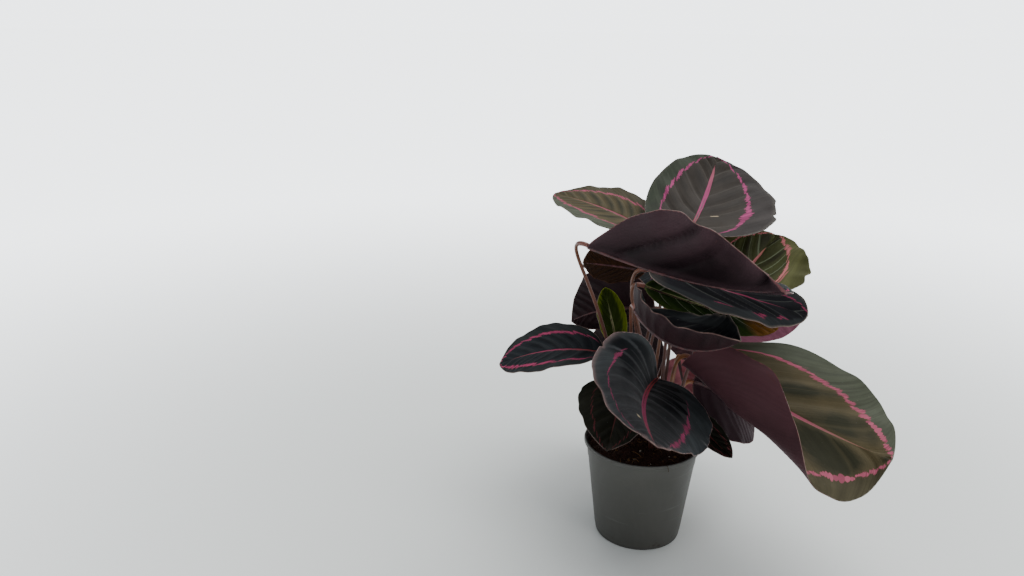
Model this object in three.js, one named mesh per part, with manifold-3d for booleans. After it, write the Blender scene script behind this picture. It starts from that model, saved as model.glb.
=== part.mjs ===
// A potted foliage plant: twenty-one broad leaves on thin stalks in a nursery pot of peat.
// Units are millimetres, +Z is up, and the origin is the middle of the pot's base.
import * as THREE from "three";
import { mergeVertices } from "three/addons/utils/BufferGeometryUtils.js";
import Module from "manifold-3d";

const wasm = await Module();
wasm.setup();

// Pot
const POT_HEIGHT = 105;
const POT_RIM_RADIUS = 60;
const POT_BASE_RADIUS = 44.5;
const POT_WALL = 1.3;
const POT_FLOOR = 1.6;
const POT_SHOULDER_RADIUS = 57.2;
const LIP_HEIGHT = 4.5;
const POT_SIDES = 48;
const DRAIN_COUNT = 8;
const DRAIN_RADIUS = 4;
const DRAIN_CIRCLE = 34;

// Soil
const SOIL_TOP = 98;
const SOIL_GAP = 0.35;
const SOIL_RIPPLE = 1.1;

// Stalks
const STALK_RADIUS_LOW = 2.3;
const STALK_RADIUS_HIGH = 1.7;
const STALK_SIDES = 7;
const STALK_STEPS = 8;
const STALK_SUNK = 20;
const SEAT_GAP = 0.3;

// Blades
const BLADE_THICKNESS = 0.8;
const KEEL_DEPTH = 0.7;
const BLADE_ROWS = 14;
const BLADE_COLUMNS = 5;
const MIDRIB_STATIONS = 48;
const SECTION_STEPS = 12;

// Each leaf: where its blade begins, where its stalk enters the soil, length and width,
// the compass heading of its midrib and how that turns, its rise from level and how that
// sags and curls towards the tip, and its roll about the midrib and how that twists.
// Each half leaves the midrib at a fold angle and bends on towards its margin; the pairs
// are the angles at the base and at the tip, and opening says how soon one becomes the other.
// Lean carries the lateral veins forward, shoulder and point round the base and the tip.
const LEAVES = {
  a: {
    base: [12, 6, 169],
    root: [8, -10],
    length: 151,
    width: 144,
    heading: -119,
    turn: 41,
    rise: 4,
    sag: -11,
    curl: 5,
    roll: -20,
    twist: 1,
    left: { fold: [26, 0], bend: [-5, -41] },
    right: { fold: [67, 15], bend: [21, -16], share: 1 },
    lean: 0.07,
    shoulder: 0.5,
    point: 0.78,
    opening: 0.62,
    hold: 0.75,
  },
  b: {
    base: [-18, 23, 157],
    root: [-14, 6],
    length: 104,
    width: 82,
    heading: -103,
    turn: -6,
    rise: -2,
    sag: -26,
    curl: -3,
    roll: 4,
    twist: -7,
    left: { fold: [16, 12], bend: [0, 0] },
    right: { fold: [13, 15], bend: [0, 0], share: 1 },
    lean: 0.07,
    shoulder: 0.44,
    point: 0.81,
    opening: 1.01,
    hold: 1,
  },
  c: {
    base: [44, -3, 197],
    root: [26, 4],
    length: 204,
    width: 175,
    heading: -33,
    turn: -5,
    rise: -18,
    sag: -2,
    curl: 15,
    roll: -33,
    twist: 68,
    left: { fold: [35, -22], bend: [0, 0] },
    right: { fold: [-43, -3], bend: [144, 37], share: 1.35 },
    lean: 0.22,
    shoulder: 0.36,
    point: 0.9,
    opening: 1.85,
    hold: 1.31,
  },
  d: {
    base: [-68, -47, 324],
    root: [-23, 32],
    length: 198,
    width: 123,
    heading: -36,
    turn: -19,
    rise: -11,
    sag: 14,
    curl: 15,
    roll: 13,
    twist: -8,
    left: { fold: [21, -22], bend: [0, 0] },
    right: { fold: [80, 58], bend: [0, 0], share: 1.22 },
    lean: 0.06,
    shoulder: 0.88,
    point: 0.76,
    opening: 1.14,
    hold: 1,
  },
  e: {
    base: [42, 56, 309],
    root: [22, 28],
    length: 157,
    width: 121,
    heading: 64,
    turn: 6,
    rise: 12,
    sag: 17,
    curl: 6,
    roll: -1,
    twist: 20,
    left: { fold: [-1, 14], bend: [0, 0] },
    right: { fold: [1, 5], bend: [0, 0], share: 1.3 },
    lean: 0.11,
    shoulder: 0.36,
    point: 0.71,
    opening: 1.14,
    hold: 1,
  },
  f: {
    base: [89, 25, 265],
    root: [36, 14],
    length: 104,
    width: 110,
    heading: 59,
    turn: -15,
    rise: 12,
    sag: 10,
    curl: 6,
    roll: 7,
    twist: 4,
    left: { fold: [9, 23], bend: [0, 0] },
    right: { fold: [3, 29], bend: [0, 0], share: 1.11 },
    lean: 0.04,
    shoulder: 0.38,
    point: 0.75,
    opening: 1.08,
    hold: 1,
  },
  g: {
    base: [-2, 5, 286],
    root: [4, 20],
    length: 153,
    width: 97,
    heading: -19,
    turn: -3,
    rise: -7,
    sag: -11,
    curl: 7,
    roll: -6,
    twist: 7,
    left: { fold: [-4, 12], bend: [0, 0] },
    right: { fold: [-12, -6], bend: [0, 0], share: 1 },
    lean: 0.17,
    shoulder: 0.46,
    point: 0.6,
    opening: 0.99,
    hold: 1,
  },
  h: {
    base: [-20, -36, 259],
    root: [-7, 31],
    length: 152,
    width: 97,
    heading: -79,
    turn: 33,
    rise: -14,
    sag: 26,
    curl: 25,
    roll: -5,
    twist: 18,
    left: { fold: [9, 30], bend: [0, 0] },
    right: { fold: [66, 53], bend: [21, -24], share: 1.14 },
    lean: 0.11,
    shoulder: 0.4,
    point: 0.72,
    opening: 0.91,
    hold: 1.05,
  },
  i: {
    base: [54, 25, 158],
    root: [39, 26],
    length: 108,
    width: 86,
    heading: 12,
    turn: 6,
    rise: -21,
    sag: -38,
    curl: -5,
    roll: -114,
    twist: -23,
    left: { fold: [-5, -11], bend: [0, 0] },
    right: { fold: [5, 0], bend: [0, 0], share: 0.74 },
    lean: 0.1,
    shoulder: 0.52,
    point: 0.69,
    opening: 1.01,
    hold: 1,
  },
  j: {
    base: [42, 7, 136],
    root: [22, -10],
    length: 72,
    width: 31,
    heading: -55,
    turn: 5,
    rise: -23,
    sag: -4,
    curl: 7,
    roll: 16,
    twist: 7,
    left: { fold: [30, 21], bend: [0, 0] },
    right: { fold: [25, 18], bend: [0, 0], share: 1 },
    lean: 0.08,
    shoulder: 0.49,
    point: 0.76,
    opening: 0.99,
    hold: 1,
  },
  k: {
    base: [1, 40, 276],
    root: [0, 38],
    length: 66,
    width: 68,
    heading: 176,
    turn: -3,
    rise: 9,
    sag: -10,
    curl: 2,
    roll: 48,
    twist: 7,
    left: { fold: [12, 6], bend: [0, 0] },
    right: { fold: [2, 4], bend: [0, 0], share: 1.02 },
    lean: 0.1,
    shoulder: 0.5,
    point: 0.72,
    opening: 1,
    hold: 1,
  },
  l: {
    base: [13, 93, 302],
    root: [13, 36],
    length: 124,
    width: 99,
    heading: 148,
    turn: 2,
    rise: 23,
    sag: -19,
    curl: 0,
    roll: -14,
    twist: 8,
    left: { fold: [10, 5], bend: [0, 0] },
    right: { fold: [8, 2], bend: [0, 0], share: 1 },
    lean: 0.1,
    shoulder: 0.5,
    point: 0.72,
    opening: 1,
    hold: 1,
  },
  m: {
    base: [-13, 104, 200],
    root: [-18, 44],
    length: 156,
    width: 94,
    heading: 76,
    turn: 0,
    rise: -20,
    sag: -66,
    curl: 0,
    roll: 0,
    twist: 6,
    left: { fold: [12, 4], bend: [0, 0] },
    right: { fold: [12, 4], bend: [0, 0], share: 1 },
    lean: 0.1,
    shoulder: 0.85,
    point: 0.42,
    opening: 1,
    hold: 1,
  },
  n: {
    base: [57, 104, 194],
    root: [15, 47],
    length: 134,
    width: 100,
    heading: 62,
    turn: 0,
    rise: -8,
    sag: -74,
    curl: 0,
    roll: 0,
    twist: 0,
    left: { fold: [12, 4], bend: [0, 0] },
    right: { fold: [12, 4], bend: [0, 0], share: 1 },
    lean: 0.1,
    shoulder: 0.5,
    point: 0.56,
    opening: 1,
    hold: 1,
  },
  o: {
    base: [-40, 40, 184],
    root: [-30, 38],
    length: 115,
    width: 88,
    heading: 172,
    turn: 0,
    rise: 8,
    sag: -38,
    curl: 0,
    roll: -12,
    twist: 0,
    left: { fold: [12, 4], bend: [0, 0] },
    right: { fold: [12, 4], bend: [0, 0], share: 1 },
    lean: 0.1,
    shoulder: 0.5,
    point: 0.72,
    opening: 1,
    hold: 1,
  },
  p: {
    base: [32, 74, 219],
    root: [5, 46],
    length: 152,
    width: 76,
    heading: 4,
    turn: 0,
    rise: -2,
    sag: -5,
    curl: 3,
    roll: -64,
    twist: -17,
    left: { fold: [8, -6], bend: [0, 0] },
    right: { fold: [5, 0], bend: [0, 0], share: 1 },
    lean: 0.12,
    shoulder: 0.51,
    point: 0.69,
    opening: 1.01,
    hold: 1,
  },
  q: {
    base: [-7, -3, 272],
    root: [13, 18],
    length: 137,
    width: 49,
    heading: -7,
    turn: 4,
    rise: -18,
    sag: 1,
    curl: 4,
    roll: 28,
    twist: 0,
    left: { fold: [10, 5], bend: [0, 0] },
    right: { fold: [-5, -5], bend: [0, 0], share: 1 },
    lean: 0.1,
    shoulder: 0.5,
    point: 0.72,
    opening: 1,
    hold: 1,
  },
  r: {
    base: [-26, 34, 193],
    root: [-12, 38],
    length: 64,
    width: 36,
    heading: 115,
    turn: 4,
    rise: 62,
    sag: 0,
    curl: 4,
    roll: -1,
    twist: 2,
    left: { fold: [6, 9], bend: [0, 0] },
    right: { fold: [11, 8], bend: [0, 0], share: 0.94 },
    lean: 0.1,
    shoulder: 0.5,
    point: 0.72,
    opening: 1,
    hold: 1,
  },
  s: {
    base: [15, 60, 228],
    root: [25, 37],
    length: 100,
    width: 93,
    heading: 165,
    turn: -18,
    rise: 0,
    sag: -33,
    curl: -4,
    roll: 59,
    twist: 46,
    left: { fold: [15, 19], bend: [0, 0] },
    right: { fold: [12, 6], bend: [0, 0], share: 0.5 },
    lean: 0.08,
    shoulder: 0.5,
    point: 0.74,
    opening: 0.99,
    hold: 1,
  },
  t: {
    base: [41, 38, 179],
    root: [30, 22],
    length: 72,
    width: 48,
    heading: 58,
    turn: -9,
    rise: -65,
    sag: 1,
    curl: 2,
    roll: 3,
    twist: -8,
    left: { fold: [9, 3], bend: [0, 0] },
    right: { fold: [14, 16], bend: [0, 0], share: 1.02 },
    lean: 0.11,
    shoulder: 0.57,
    point: 0.7,
    opening: 1,
    hold: 1,
  },
  u: {
    base: [5, 118, 232],
    root: [-9, 48],
    length: 126,
    width: 100,
    heading: 98,
    turn: -6,
    rise: 14,
    sag: -42,
    curl: 0,
    roll: -4,
    twist: 0,
    left: { fold: [12, 4], bend: [0, 0] },
    right: { fold: [12, 4], bend: [0, 0], share: 1 },
    lean: 0.1,
    shoulder: 0.5,
    point: 0.72,
    opening: 1,
    hold: 1,
  },
};

const COLOURS = {
  pot: 0x59645f,
  soil: 0x2a1d18,
  blade: 0x27312c,
  stalk: 0x6b3b35,
};

const degrees = THREE.MathUtils.degToRad;

// Mesh helpers

function meshFrom(name, positions, index, colour, roughness) {
  const geometry = new THREE.BufferGeometry();
  geometry.setAttribute("position", new THREE.Float32BufferAttribute(positions, 3));
  geometry.setIndex(index);
  geometry.computeVertexNormals();
  const material = new THREE.MeshStandardMaterial({ color: colour, roughness, metalness: 0 });
  const mesh = new THREE.Mesh(geometry, material);
  mesh.name = name;
  return mesh;
}

function solidFrom(geometry) {
  const bare = geometry.clone();
  bare.deleteAttribute("normal");
  bare.deleteAttribute("uv");
  const merged = mergeVertices(bare, 1e-3);
  return new wasm.Manifold(
    new wasm.Mesh({
      numProp: 3,
      vertProperties: new Float32Array(merged.attributes.position.array),
      triVerts: new Uint32Array(merged.index.array),
    }),
  );
}

function meshOfSolid(name, solid, colour, roughness) {
  const cut = solid.getMesh();
  return meshFrom(name, Array.from(cut.vertProperties), Array.from(cut.triVerts), colour, roughness);
}

function upright(profile, sides) {
  const points = profile.map(([r, z]) => new THREE.Vector2(r, z));
  const turned = new THREE.LatheGeometry(points, sides);
  turned.rotateX(Math.PI / 2);
  return turned;
}

function peg(x, y, low, high, radius, sides) {
  const shape = new THREE.CylinderGeometry(radius, radius, high - low, sides);
  shape.rotateX(Math.PI / 2);
  shape.translate(x, y, (low + high) / 2);
  return solidFrom(shape);
}

// Pot and soil

const shoulderHeight = POT_HEIGHT - LIP_HEIGHT;
const innerLow = POT_BASE_RADIUS - POT_WALL;
const innerHigh = POT_SHOULDER_RADIUS - POT_WALL;

function innerRadius(z) {
  return innerLow + ((innerHigh - innerLow) * (z - POT_FLOOR)) / (shoulderHeight - POT_FLOOR);
}

function makePot() {
  const profile = [
    [0, 0],
    [POT_BASE_RADIUS - 1.2, 0],
    [POT_BASE_RADIUS, 1.2],
    [POT_SHOULDER_RADIUS, shoulderHeight],
    [POT_RIM_RADIUS - 0.6, shoulderHeight + 0.3],
    [POT_RIM_RADIUS, shoulderHeight + 1.5],
    [POT_RIM_RADIUS - 0.2, POT_HEIGHT - 0.8],
    [POT_RIM_RADIUS - 1.2, POT_HEIGHT],
    [POT_RIM_RADIUS - 2.6, POT_HEIGHT - 0.5],
    [innerHigh, shoulderHeight],
    [innerLow, POT_FLOOR],
    [0, POT_FLOOR],
  ];
  let solid = solidFrom(upright(profile, POT_SIDES));
  for (let i = 0; i < DRAIN_COUNT; i++) {
    const angle = ((i + 0.5) * 2 * Math.PI) / DRAIN_COUNT;
    const x = DRAIN_CIRCLE * Math.cos(angle);
    const y = DRAIN_CIRCLE * Math.sin(angle);
    solid = solid.subtract(peg(x, y, -1, POT_FLOOR + 1, DRAIN_RADIUS, 12));
  }
  return meshOfSolid("pot", solid, COLOURS.pot, 0.6);
}

function makeSoil() {
  const low = POT_FLOOR + SOIL_GAP;
  const profile = [
    [0, low],
    [innerRadius(low) - SOIL_GAP, low],
    [innerRadius(SOIL_TOP - 1) - SOIL_GAP, SOIL_TOP - 1],
    [47, SOIL_TOP],
    [36, SOIL_TOP + 0.4],
    [24, SOIL_TOP + 1],
    [12, SOIL_TOP + 0.6],
    [0, SOIL_TOP + 0.9],
  ];
  const body = upright(profile, POT_SIDES);
  const spots = body.attributes.position;
  for (let i = 0; i < spots.count; i++) {
    const x = spots.getX(i);
    const y = spots.getY(i);
    const z = spots.getZ(i);
    const r = Math.hypot(x, y);
    if (z > SOIL_TOP - 0.5 && r > 1) {
      const broad = Math.sin(0.19 * x + 1.3) * Math.cos(0.23 * y - 0.4);
      const fine = 0.5 * Math.sin(0.41 * x - 0.35 * y);
      spots.setZ(i, z + SOIL_RIPPLE * (broad + fine));
    }
  }
  let solid = solidFrom(body);
  for (const leaf of Object.values(LEAVES)) {
    const [x, y] = leaf.root;
    const bottom = SOIL_TOP - STALK_SUNK - SEAT_GAP;
    solid = solid.subtract(peg(x, y, bottom, SOIL_TOP + 6, STALK_RADIUS_LOW + SEAT_GAP, 8));
  }
  return meshOfSolid("soil", solid, COLOURS.soil, 0.95);
}

// Blades

function midrib(leaf) {
  const steps = MIDRIB_STATIONS;
  const directionAt = (s) => {
    const rise = degrees(leaf.rise + leaf.sag * s + leaf.curl * s * s);
    const heading = degrees(leaf.heading + leaf.turn * s);
    const along = new THREE.Vector3(
      Math.cos(rise) * Math.cos(heading),
      Math.cos(rise) * Math.sin(heading),
      Math.sin(rise),
    );
    const side = new THREE.Vector3(-Math.sin(heading), Math.cos(heading), 0);
    return { along, side };
  };
  const stations = [];
  const place = new THREE.Vector3(...leaf.base);
  for (let i = 0; i <= steps; i++) {
    const s = i / steps;
    const { along, side } = directionAt(s);
    const up = new THREE.Vector3().crossVectors(along, side);
    const roll = degrees(leaf.roll + leaf.twist * s);
    const left = side.clone().multiplyScalar(Math.cos(roll)).addScaledVector(up, Math.sin(roll));
    const face = up.clone().multiplyScalar(Math.cos(roll)).addScaledVector(side, -Math.sin(roll));
    stations.push({ place: place.clone(), along, left, face });
    place.addScaledVector(directionAt(s + 0.5 / steps).along, leaf.length / steps);
  }
  return stations;
}

function between(stations, s) {
  const at = Math.min(Math.max(s, 0), 1) * MIDRIB_STATIONS;
  const i = Math.min(Math.floor(at), MIDRIB_STATIONS - 1);
  const f = at - i;
  const mix = (key) => stations[i][key].clone().lerp(stations[i + 1][key], f);
  return { place: mix("place"), left: mix("left"), face: mix("face") };
}

function halfWidth(leaf, s) {
  const widest = leaf.shoulder / (leaf.shoulder + leaf.point);
  const most = widest ** leaf.shoulder * (1 - widest) ** leaf.point;
  return ((leaf.width / 2) * (s ** leaf.shoulder * (1 - s) ** leaf.point)) / most;
}

// A point of the blade: s runs from base to tip, t from the right margin (-1) to the left (1),
// and lift is its height over the middle of the blade's thickness.
function bladePoint(leaf, stations, s, t, lift) {
  const out = Math.abs(t);
  const q = s + leaf.lean * 4 * s * (1 - s) * out ** 1.6;
  const { place, left, face } = between(stations, q);
  const half = t >= 0 ? leaf.left : leaf.right;
  const reach = out * halfWidth(leaf, s) * (t >= 0 ? 1 : half.share);
  const eased = Math.max(q, 1e-6) ** leaf.opening;
  const fold = degrees(half.fold[0] + (half.fold[1] - half.fold[0]) * eased);
  const bend = degrees(half.bend[0] + (half.bend[1] - half.bend[0]) * eased);
  const angleAt = (d) => fold + bend * (d / (leaf.width / 2)) ** leaf.hold;
  let across = 0;
  let over = 0;
  for (let i = 0; i < SECTION_STEPS; i++) {
    const angle = angleAt((reach * (i + 0.5)) / SECTION_STEPS);
    across += (Math.cos(angle) * reach) / SECTION_STEPS;
    over += (Math.sin(angle) * reach) / SECTION_STEPS;
  }
  const sign = t >= 0 ? 1 : -1;
  const tilt = out > 0 ? angleAt(reach) : 0;
  return place
    .addScaledVector(left, sign * (across - Math.sin(tilt) * lift))
    .addScaledVector(face, over + Math.cos(tilt) * lift);
}

function makeBlade(name, leaf) {
  const stations = midrib(leaf);
  const positions = [];
  const index = [];
  const columns = 2 * BLADE_COLUMNS + 1;
  const rowShare = (i) => (1 - Math.cos((Math.PI * i) / BLADE_ROWS)) / 2;
  const put = (s, t, lift) => {
    positions.push(...bladePoint(leaf, stations, s, t, lift).toArray());
    return positions.length / 3 - 1;
  };
  const faces = [1, -1].map((side) => {
    const lift = (side * BLADE_THICKNESS) / 2;
    const keel = side < 0 ? -KEEL_DEPTH : 0;
    const rows = [];
    for (let i = 1; i < BLADE_ROWS; i++) {
      const row = [];
      for (let j = 0; j < columns; j++) {
        const t = j / BLADE_COLUMNS - 1;
        row.push(put(rowShare(i), t, lift + (j === BLADE_COLUMNS ? keel : 0)));
      }
      rows.push(row);
    }
    return { base: put(0, 0, lift), tip: put(1, 0, lift), rows };
  });
  faces.forEach(({ base, tip, rows }, k) => {
    const add = (a, b, c) => index.push(...(k === 0 ? [a, c, b] : [a, b, c]));
    for (let j = 0; j < columns - 1; j++) {
      add(base, rows[0][j + 1], rows[0][j]);
      add(tip, rows[BLADE_ROWS - 2][j], rows[BLADE_ROWS - 2][j + 1]);
      for (let i = 0; i < BLADE_ROWS - 2; i++) {
        const [a, b] = [rows[i][j], rows[i][j + 1]];
        const [c, d] = [rows[i + 1][j], rows[i + 1][j + 1]];
        if (j < BLADE_COLUMNS) {
          add(a, b, c);
          add(b, d, c);
        } else {
          add(a, b, d);
          add(a, d, c);
        }
      }
    }
  });
  const loop = ({ base, tip, rows }) => [
    base,
    ...rows.map((row) => row[columns - 1]),
    tip,
    ...rows.map((row) => row[0]).reverse(),
  ];
  const [upper, lower] = faces.map(loop);
  for (let i = 0; i < upper.length; i++) {
    const n = (i + 1) % upper.length;
    index.push(upper[i], upper[n], lower[i]);
    index.push(upper[n], lower[n], lower[i]);
  }
  return meshFrom(name, positions, index, COLOURS.blade, 0.55);
}

// Stalks

function makeStalk(name, leaf) {
  const { place, along } = midrib(leaf)[0];
  const rise = place.z - SOIL_TOP;
  const [x, y] = leaf.root;
  const foot = new THREE.Vector3(x, y, SOIL_TOP - STALK_SUNK);
  const ground = new THREE.Vector3(x, y, SOIL_TOP);
  const end = place.clone().addScaledVector(along, -SEAT_GAP);
  const curve = new THREE.CubicBezierCurve3(
    ground,
    ground.clone().add(new THREE.Vector3(0, 0, 0.6 * rise)),
    end.clone().addScaledVector(along, -(6 + 0.18 * rise)),
    end,
  );
  const spine = [foot];
  const tangents = [new THREE.Vector3(0, 0, 1)];
  for (let i = 0; i <= STALK_STEPS; i++) {
    spine.push(curve.getPoint(i / STALK_STEPS));
    tangents.push(curve.getTangent(i / STALK_STEPS));
  }
  const positions = [];
  const index = [];
  let side = new THREE.Vector3(1, 0, 0);
  spine.forEach((point, i) => {
    const tangent = tangents[i];
    side = side.addScaledVector(tangent, -side.dot(tangent)).normalize().clone();
    const other = new THREE.Vector3().crossVectors(tangent, side);
    const share = i / (spine.length - 1);
    const radius = STALK_RADIUS_LOW + (STALK_RADIUS_HIGH - STALK_RADIUS_LOW) * share;
    for (let j = 0; j < STALK_SIDES; j++) {
      const angle = (2 * Math.PI * j) / STALK_SIDES;
      const rim = point
        .clone()
        .addScaledVector(side, radius * Math.cos(angle))
        .addScaledVector(other, radius * Math.sin(angle));
      positions.push(...rim.toArray());
    }
  });
  const last = (spine.length - 1) * STALK_SIDES;
  for (let i = 0; i < spine.length - 1; i++) {
    for (let j = 0; j < STALK_SIDES; j++) {
      const a = i * STALK_SIDES + j;
      const b = i * STALK_SIDES + ((j + 1) % STALK_SIDES);
      index.push(a, b, b + STALK_SIDES);
      index.push(a, b + STALK_SIDES, a + STALK_SIDES);
    }
  }
  for (let j = 1; j < STALK_SIDES - 1; j++) {
    index.push(0, j + 1, j);
    index.push(last, last + j, last + j + 1);
  }
  return meshFrom(name, positions, index, COLOURS.stalk, 0.6);
}

// The plant

const plant = new THREE.Group();
plant.add(makePot());
plant.add(makeSoil());
const foliage = new THREE.Group();
for (const [letter, leaf] of Object.entries(LEAVES)) {
  foliage.add(makeBlade(`leaf_${letter}`, leaf));
  foliage.add(makeStalk(`stalk_${letter}`, leaf));
}
plant.add(foliage);

export default plant;
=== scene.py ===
# %% [markdown]
# # A potted plant with dark, pink-ringed leaves
# A nursery pot of peat carries twenty-one broad leaves, each on a thin stalk of its own.
# The solids of the frame already give every leaf its size and place. A modeller could
# sculpt the plant afresh, but then nothing would fit what the solids say. So each piece
# here is a finer one laid over its solid: thin waved blades, stalks with a sheath at the
# foot and a knee below the blade, a smooth pot and crumbly peat. Loading the frame first
# keeps them all in one set of coordinates, in metres.

# %% Load the frame
import math

import bpy
import numpy as np
from mathutils import Matrix, Vector, noise


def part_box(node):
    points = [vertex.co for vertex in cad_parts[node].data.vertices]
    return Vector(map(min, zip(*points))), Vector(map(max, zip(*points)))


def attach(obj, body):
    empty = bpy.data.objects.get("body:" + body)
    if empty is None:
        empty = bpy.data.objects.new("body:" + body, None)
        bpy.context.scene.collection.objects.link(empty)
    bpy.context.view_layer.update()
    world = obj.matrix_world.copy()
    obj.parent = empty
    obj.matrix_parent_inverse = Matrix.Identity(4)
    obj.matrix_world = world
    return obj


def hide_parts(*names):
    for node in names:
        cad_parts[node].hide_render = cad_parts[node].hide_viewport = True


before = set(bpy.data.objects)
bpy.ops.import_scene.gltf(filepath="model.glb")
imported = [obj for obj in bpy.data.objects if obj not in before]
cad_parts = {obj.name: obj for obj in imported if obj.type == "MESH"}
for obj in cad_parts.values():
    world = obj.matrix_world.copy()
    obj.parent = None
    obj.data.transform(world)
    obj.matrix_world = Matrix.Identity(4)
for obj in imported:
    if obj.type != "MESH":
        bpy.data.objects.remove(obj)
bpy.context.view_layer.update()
MM = 0.001


def add_alone(operator, name, **settings):
    """Adds a form, lamp or camera with nothing else selected, and names it."""
    bpy.ops.object.select_all(action="DESELECT")
    operator(**settings)
    added = bpy.context.object
    added.name = name
    return added


# %% [markdown]
# ## Camera
# A product photograph is mostly the camera's place and lens. The pot stands at the origin,
# and the camera looks down on it from the front left, as a person standing at a table does.
# It could be aimed by a tracking constraint, but a fixed place and tilt are easier to
# compare with a photograph, because nothing moves when the plant changes.

# %% Camera
CAMERA_PLACE = (-0.1372, -0.7959, 0.5226)
CAMERA_TILT = math.radians(72.23)
CAMERA_ROLL = 0.011
LENS = 29.88
SENSOR = 36

camera = add_alone(bpy.ops.object.camera_add, "camera", location=CAMERA_PLACE, rotation=(CAMERA_TILT, 0, 0))
camera.rotation_euler.rotate_axis("Z", CAMERA_ROLL)
camera.data.lens = LENS
camera.data.sensor_width = SENSOR
bpy.context.scene.camera = camera
print("camera stands at", CAMERA_PLACE, "with a lens of", LENS, "mm")

# %% [markdown]
# ## Writing a finish
# A shader is a graph of nodes. Placed by hand in the editor, the graph of a leaf is a few
# dozen boxes. In code it reads better as arithmetic, so these helpers each add one node
# and return its output socket, and a plain number may stand wherever a socket may.

# %% Helpers for shader nodes
def new_finish(name, roughness, specular=0.5):
    material = bpy.data.materials.new(name)
    material.use_nodes = True
    shader = material.node_tree.nodes["Principled BSDF"]
    shader.inputs["Roughness"].default_value = roughness
    shader.inputs["Specular IOR Level"].default_value = specular
    return material, material.node_tree, shader


def plug(tree, value, socket):
    if isinstance(value, bpy.types.NodeSocket):
        tree.links.new(value, socket)
    elif isinstance(value, tuple) and len(value) == 3 and socket.type == "RGBA":
        socket.default_value = (*value, 1)
    else:
        socket.default_value = value


def reckon(tree, operation, a, b=0.0, c=0.0):
    node = tree.nodes.new("ShaderNodeMath")
    node.operation = operation
    for value, socket in zip((a, b, c), node.inputs):
        plug(tree, value, socket)
    return node.outputs[0]


def times(tree, a, b, more=None):
    """a times b, with more added to it where it is given."""
    if more is None:
        return reckon(tree, "MULTIPLY", a, b)
    return reckon(tree, "MULTIPLY_ADD", a, b, more)


def plus(tree, a, b):
    return reckon(tree, "ADD", a, b)


def minus(tree, a, b):
    return reckon(tree, "SUBTRACT", a, b)


def step_up(tree, value, low, high):
    """0 below low, 1 above high, and a smooth rise in between."""
    node = tree.nodes.new("ShaderNodeMapRange")
    node.interpolation_type = "SMOOTHSTEP"
    for at, given in (("Value", value), ("From Min", low), ("From Max", high)):
        plug(tree, given, node.inputs[at])
    return node.outputs[0]


def step_down(tree, value, low, high):
    return minus(tree, 1.0, step_up(tree, value, low, high))


def speckle(tree, vector, scale, detail=2.0, roughness=0.5):
    node = tree.nodes.new("ShaderNodeTexNoise")
    plug(tree, vector, node.inputs["Vector"])
    node.inputs["Scale"].default_value = scale
    node.inputs["Detail"].default_value = detail
    node.inputs["Roughness"].default_value = roughness
    return node.outputs[0]


def lot(tree, number):
    """A random share from 0 to 1 for each number, always the same one."""
    node = tree.nodes.new("ShaderNodeTexWhiteNoise")
    node.noise_dimensions = "1D"
    plug(tree, number, node.inputs["W"])
    return node.outputs["Value"]


def tint(tree, share, under, over):
    node = tree.nodes.new("ShaderNodeMix")
    node.data_type = "RGBA"
    plug(tree, share, node.inputs[0])
    plug(tree, under, node.inputs[6])
    plug(tree, over, node.inputs[7])
    return node.outputs[2]


def shade(tree, colour, amount):
    """The colour made darker or lighter by a factor."""
    node = tree.nodes.new("ShaderNodeVectorMath")
    node.operation = "SCALE"
    plug(tree, colour, node.inputs[0])
    plug(tree, amount, node.inputs["Scale"])
    return node.outputs[0]


def measure(tree, name, kind="Fac"):
    """A number, or a vector, stored on the mesh under that name."""
    node = tree.nodes.new("ShaderNodeAttribute")
    node.attribute_name = name
    return node.outputs[kind]


def place_on(tree):
    """The point's place on its piece, in metres."""
    return tree.nodes.new("ShaderNodeTexCoord").outputs["Object"]


def parts_of(tree, vector):
    node = tree.nodes.new("ShaderNodeSeparateXYZ")
    tree.links.new(vector, node.inputs[0])
    return node.outputs


def blade_uv(tree):
    """How far along a blade or stalk a point is, and how far across or around it."""
    uv = tree.nodes.new("ShaderNodeUVMap")
    uv.uv_map = "blade"
    along, side, _ = parts_of(tree, uv.outputs[0])
    return along, side


def trio(tree, x, y, z):
    node = tree.nodes.new("ShaderNodeCombineXYZ")
    for value, socket in zip((x, y, z), node.inputs):
        plug(tree, value, socket)
    return node.outputs[0]


def dress(tree, shader, colour, grain, depth, dull=None):
    """Gives the shader its colour and a fine relief, and its dullness where that varies."""
    tree.links.new(colour, shader.inputs["Base Color"])
    if dull is not None:
        tree.links.new(dull, shader.inputs["Roughness"])
    node = tree.nodes.new("ShaderNodeBump")
    node.inputs["Distance"].default_value = depth
    plug(tree, grain, node.inputs["Height"])
    tree.links.new(node.outputs[0], shader.inputs["Normal"])


print("shader helpers are ready")

# %% [markdown]
# ## The leaf's upper face
# The upper face is nearly black-green or olive, and carries a hot pink midrib and a pink
# ring about two thirds of the way to the margin. Dark lens-shaped bands lie along the side
# veins. A painted image would do this, but only for one leaf. Here each blade's mesh
# stores, in millimetres, how far a point is from the midrib (rib), from the line of the
# ring (ring) and from the margin (edge). Two more numbers count the big side veins (vein)
# and the finer ones between them (strand). The stripes are then thresholds of those
# numbers, and they follow any blade, however it bends. On the real leaf the pink runs out
# along the fine veins in strokes of all lengths. So the ring is cut into strokes by the
# fine count, and each stroke draws its own two ends.

# %% Finish of the upper face
BAND_HALF = 0.34
STROKES_PER_VEIN = 11
STROKE_POINT = 0.5
BLOCKS_PER_VEIN = 1.3
RING_STEP = 2.6
RING_THICK = 2.9
MARGIN_LINE = 0.55


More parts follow.
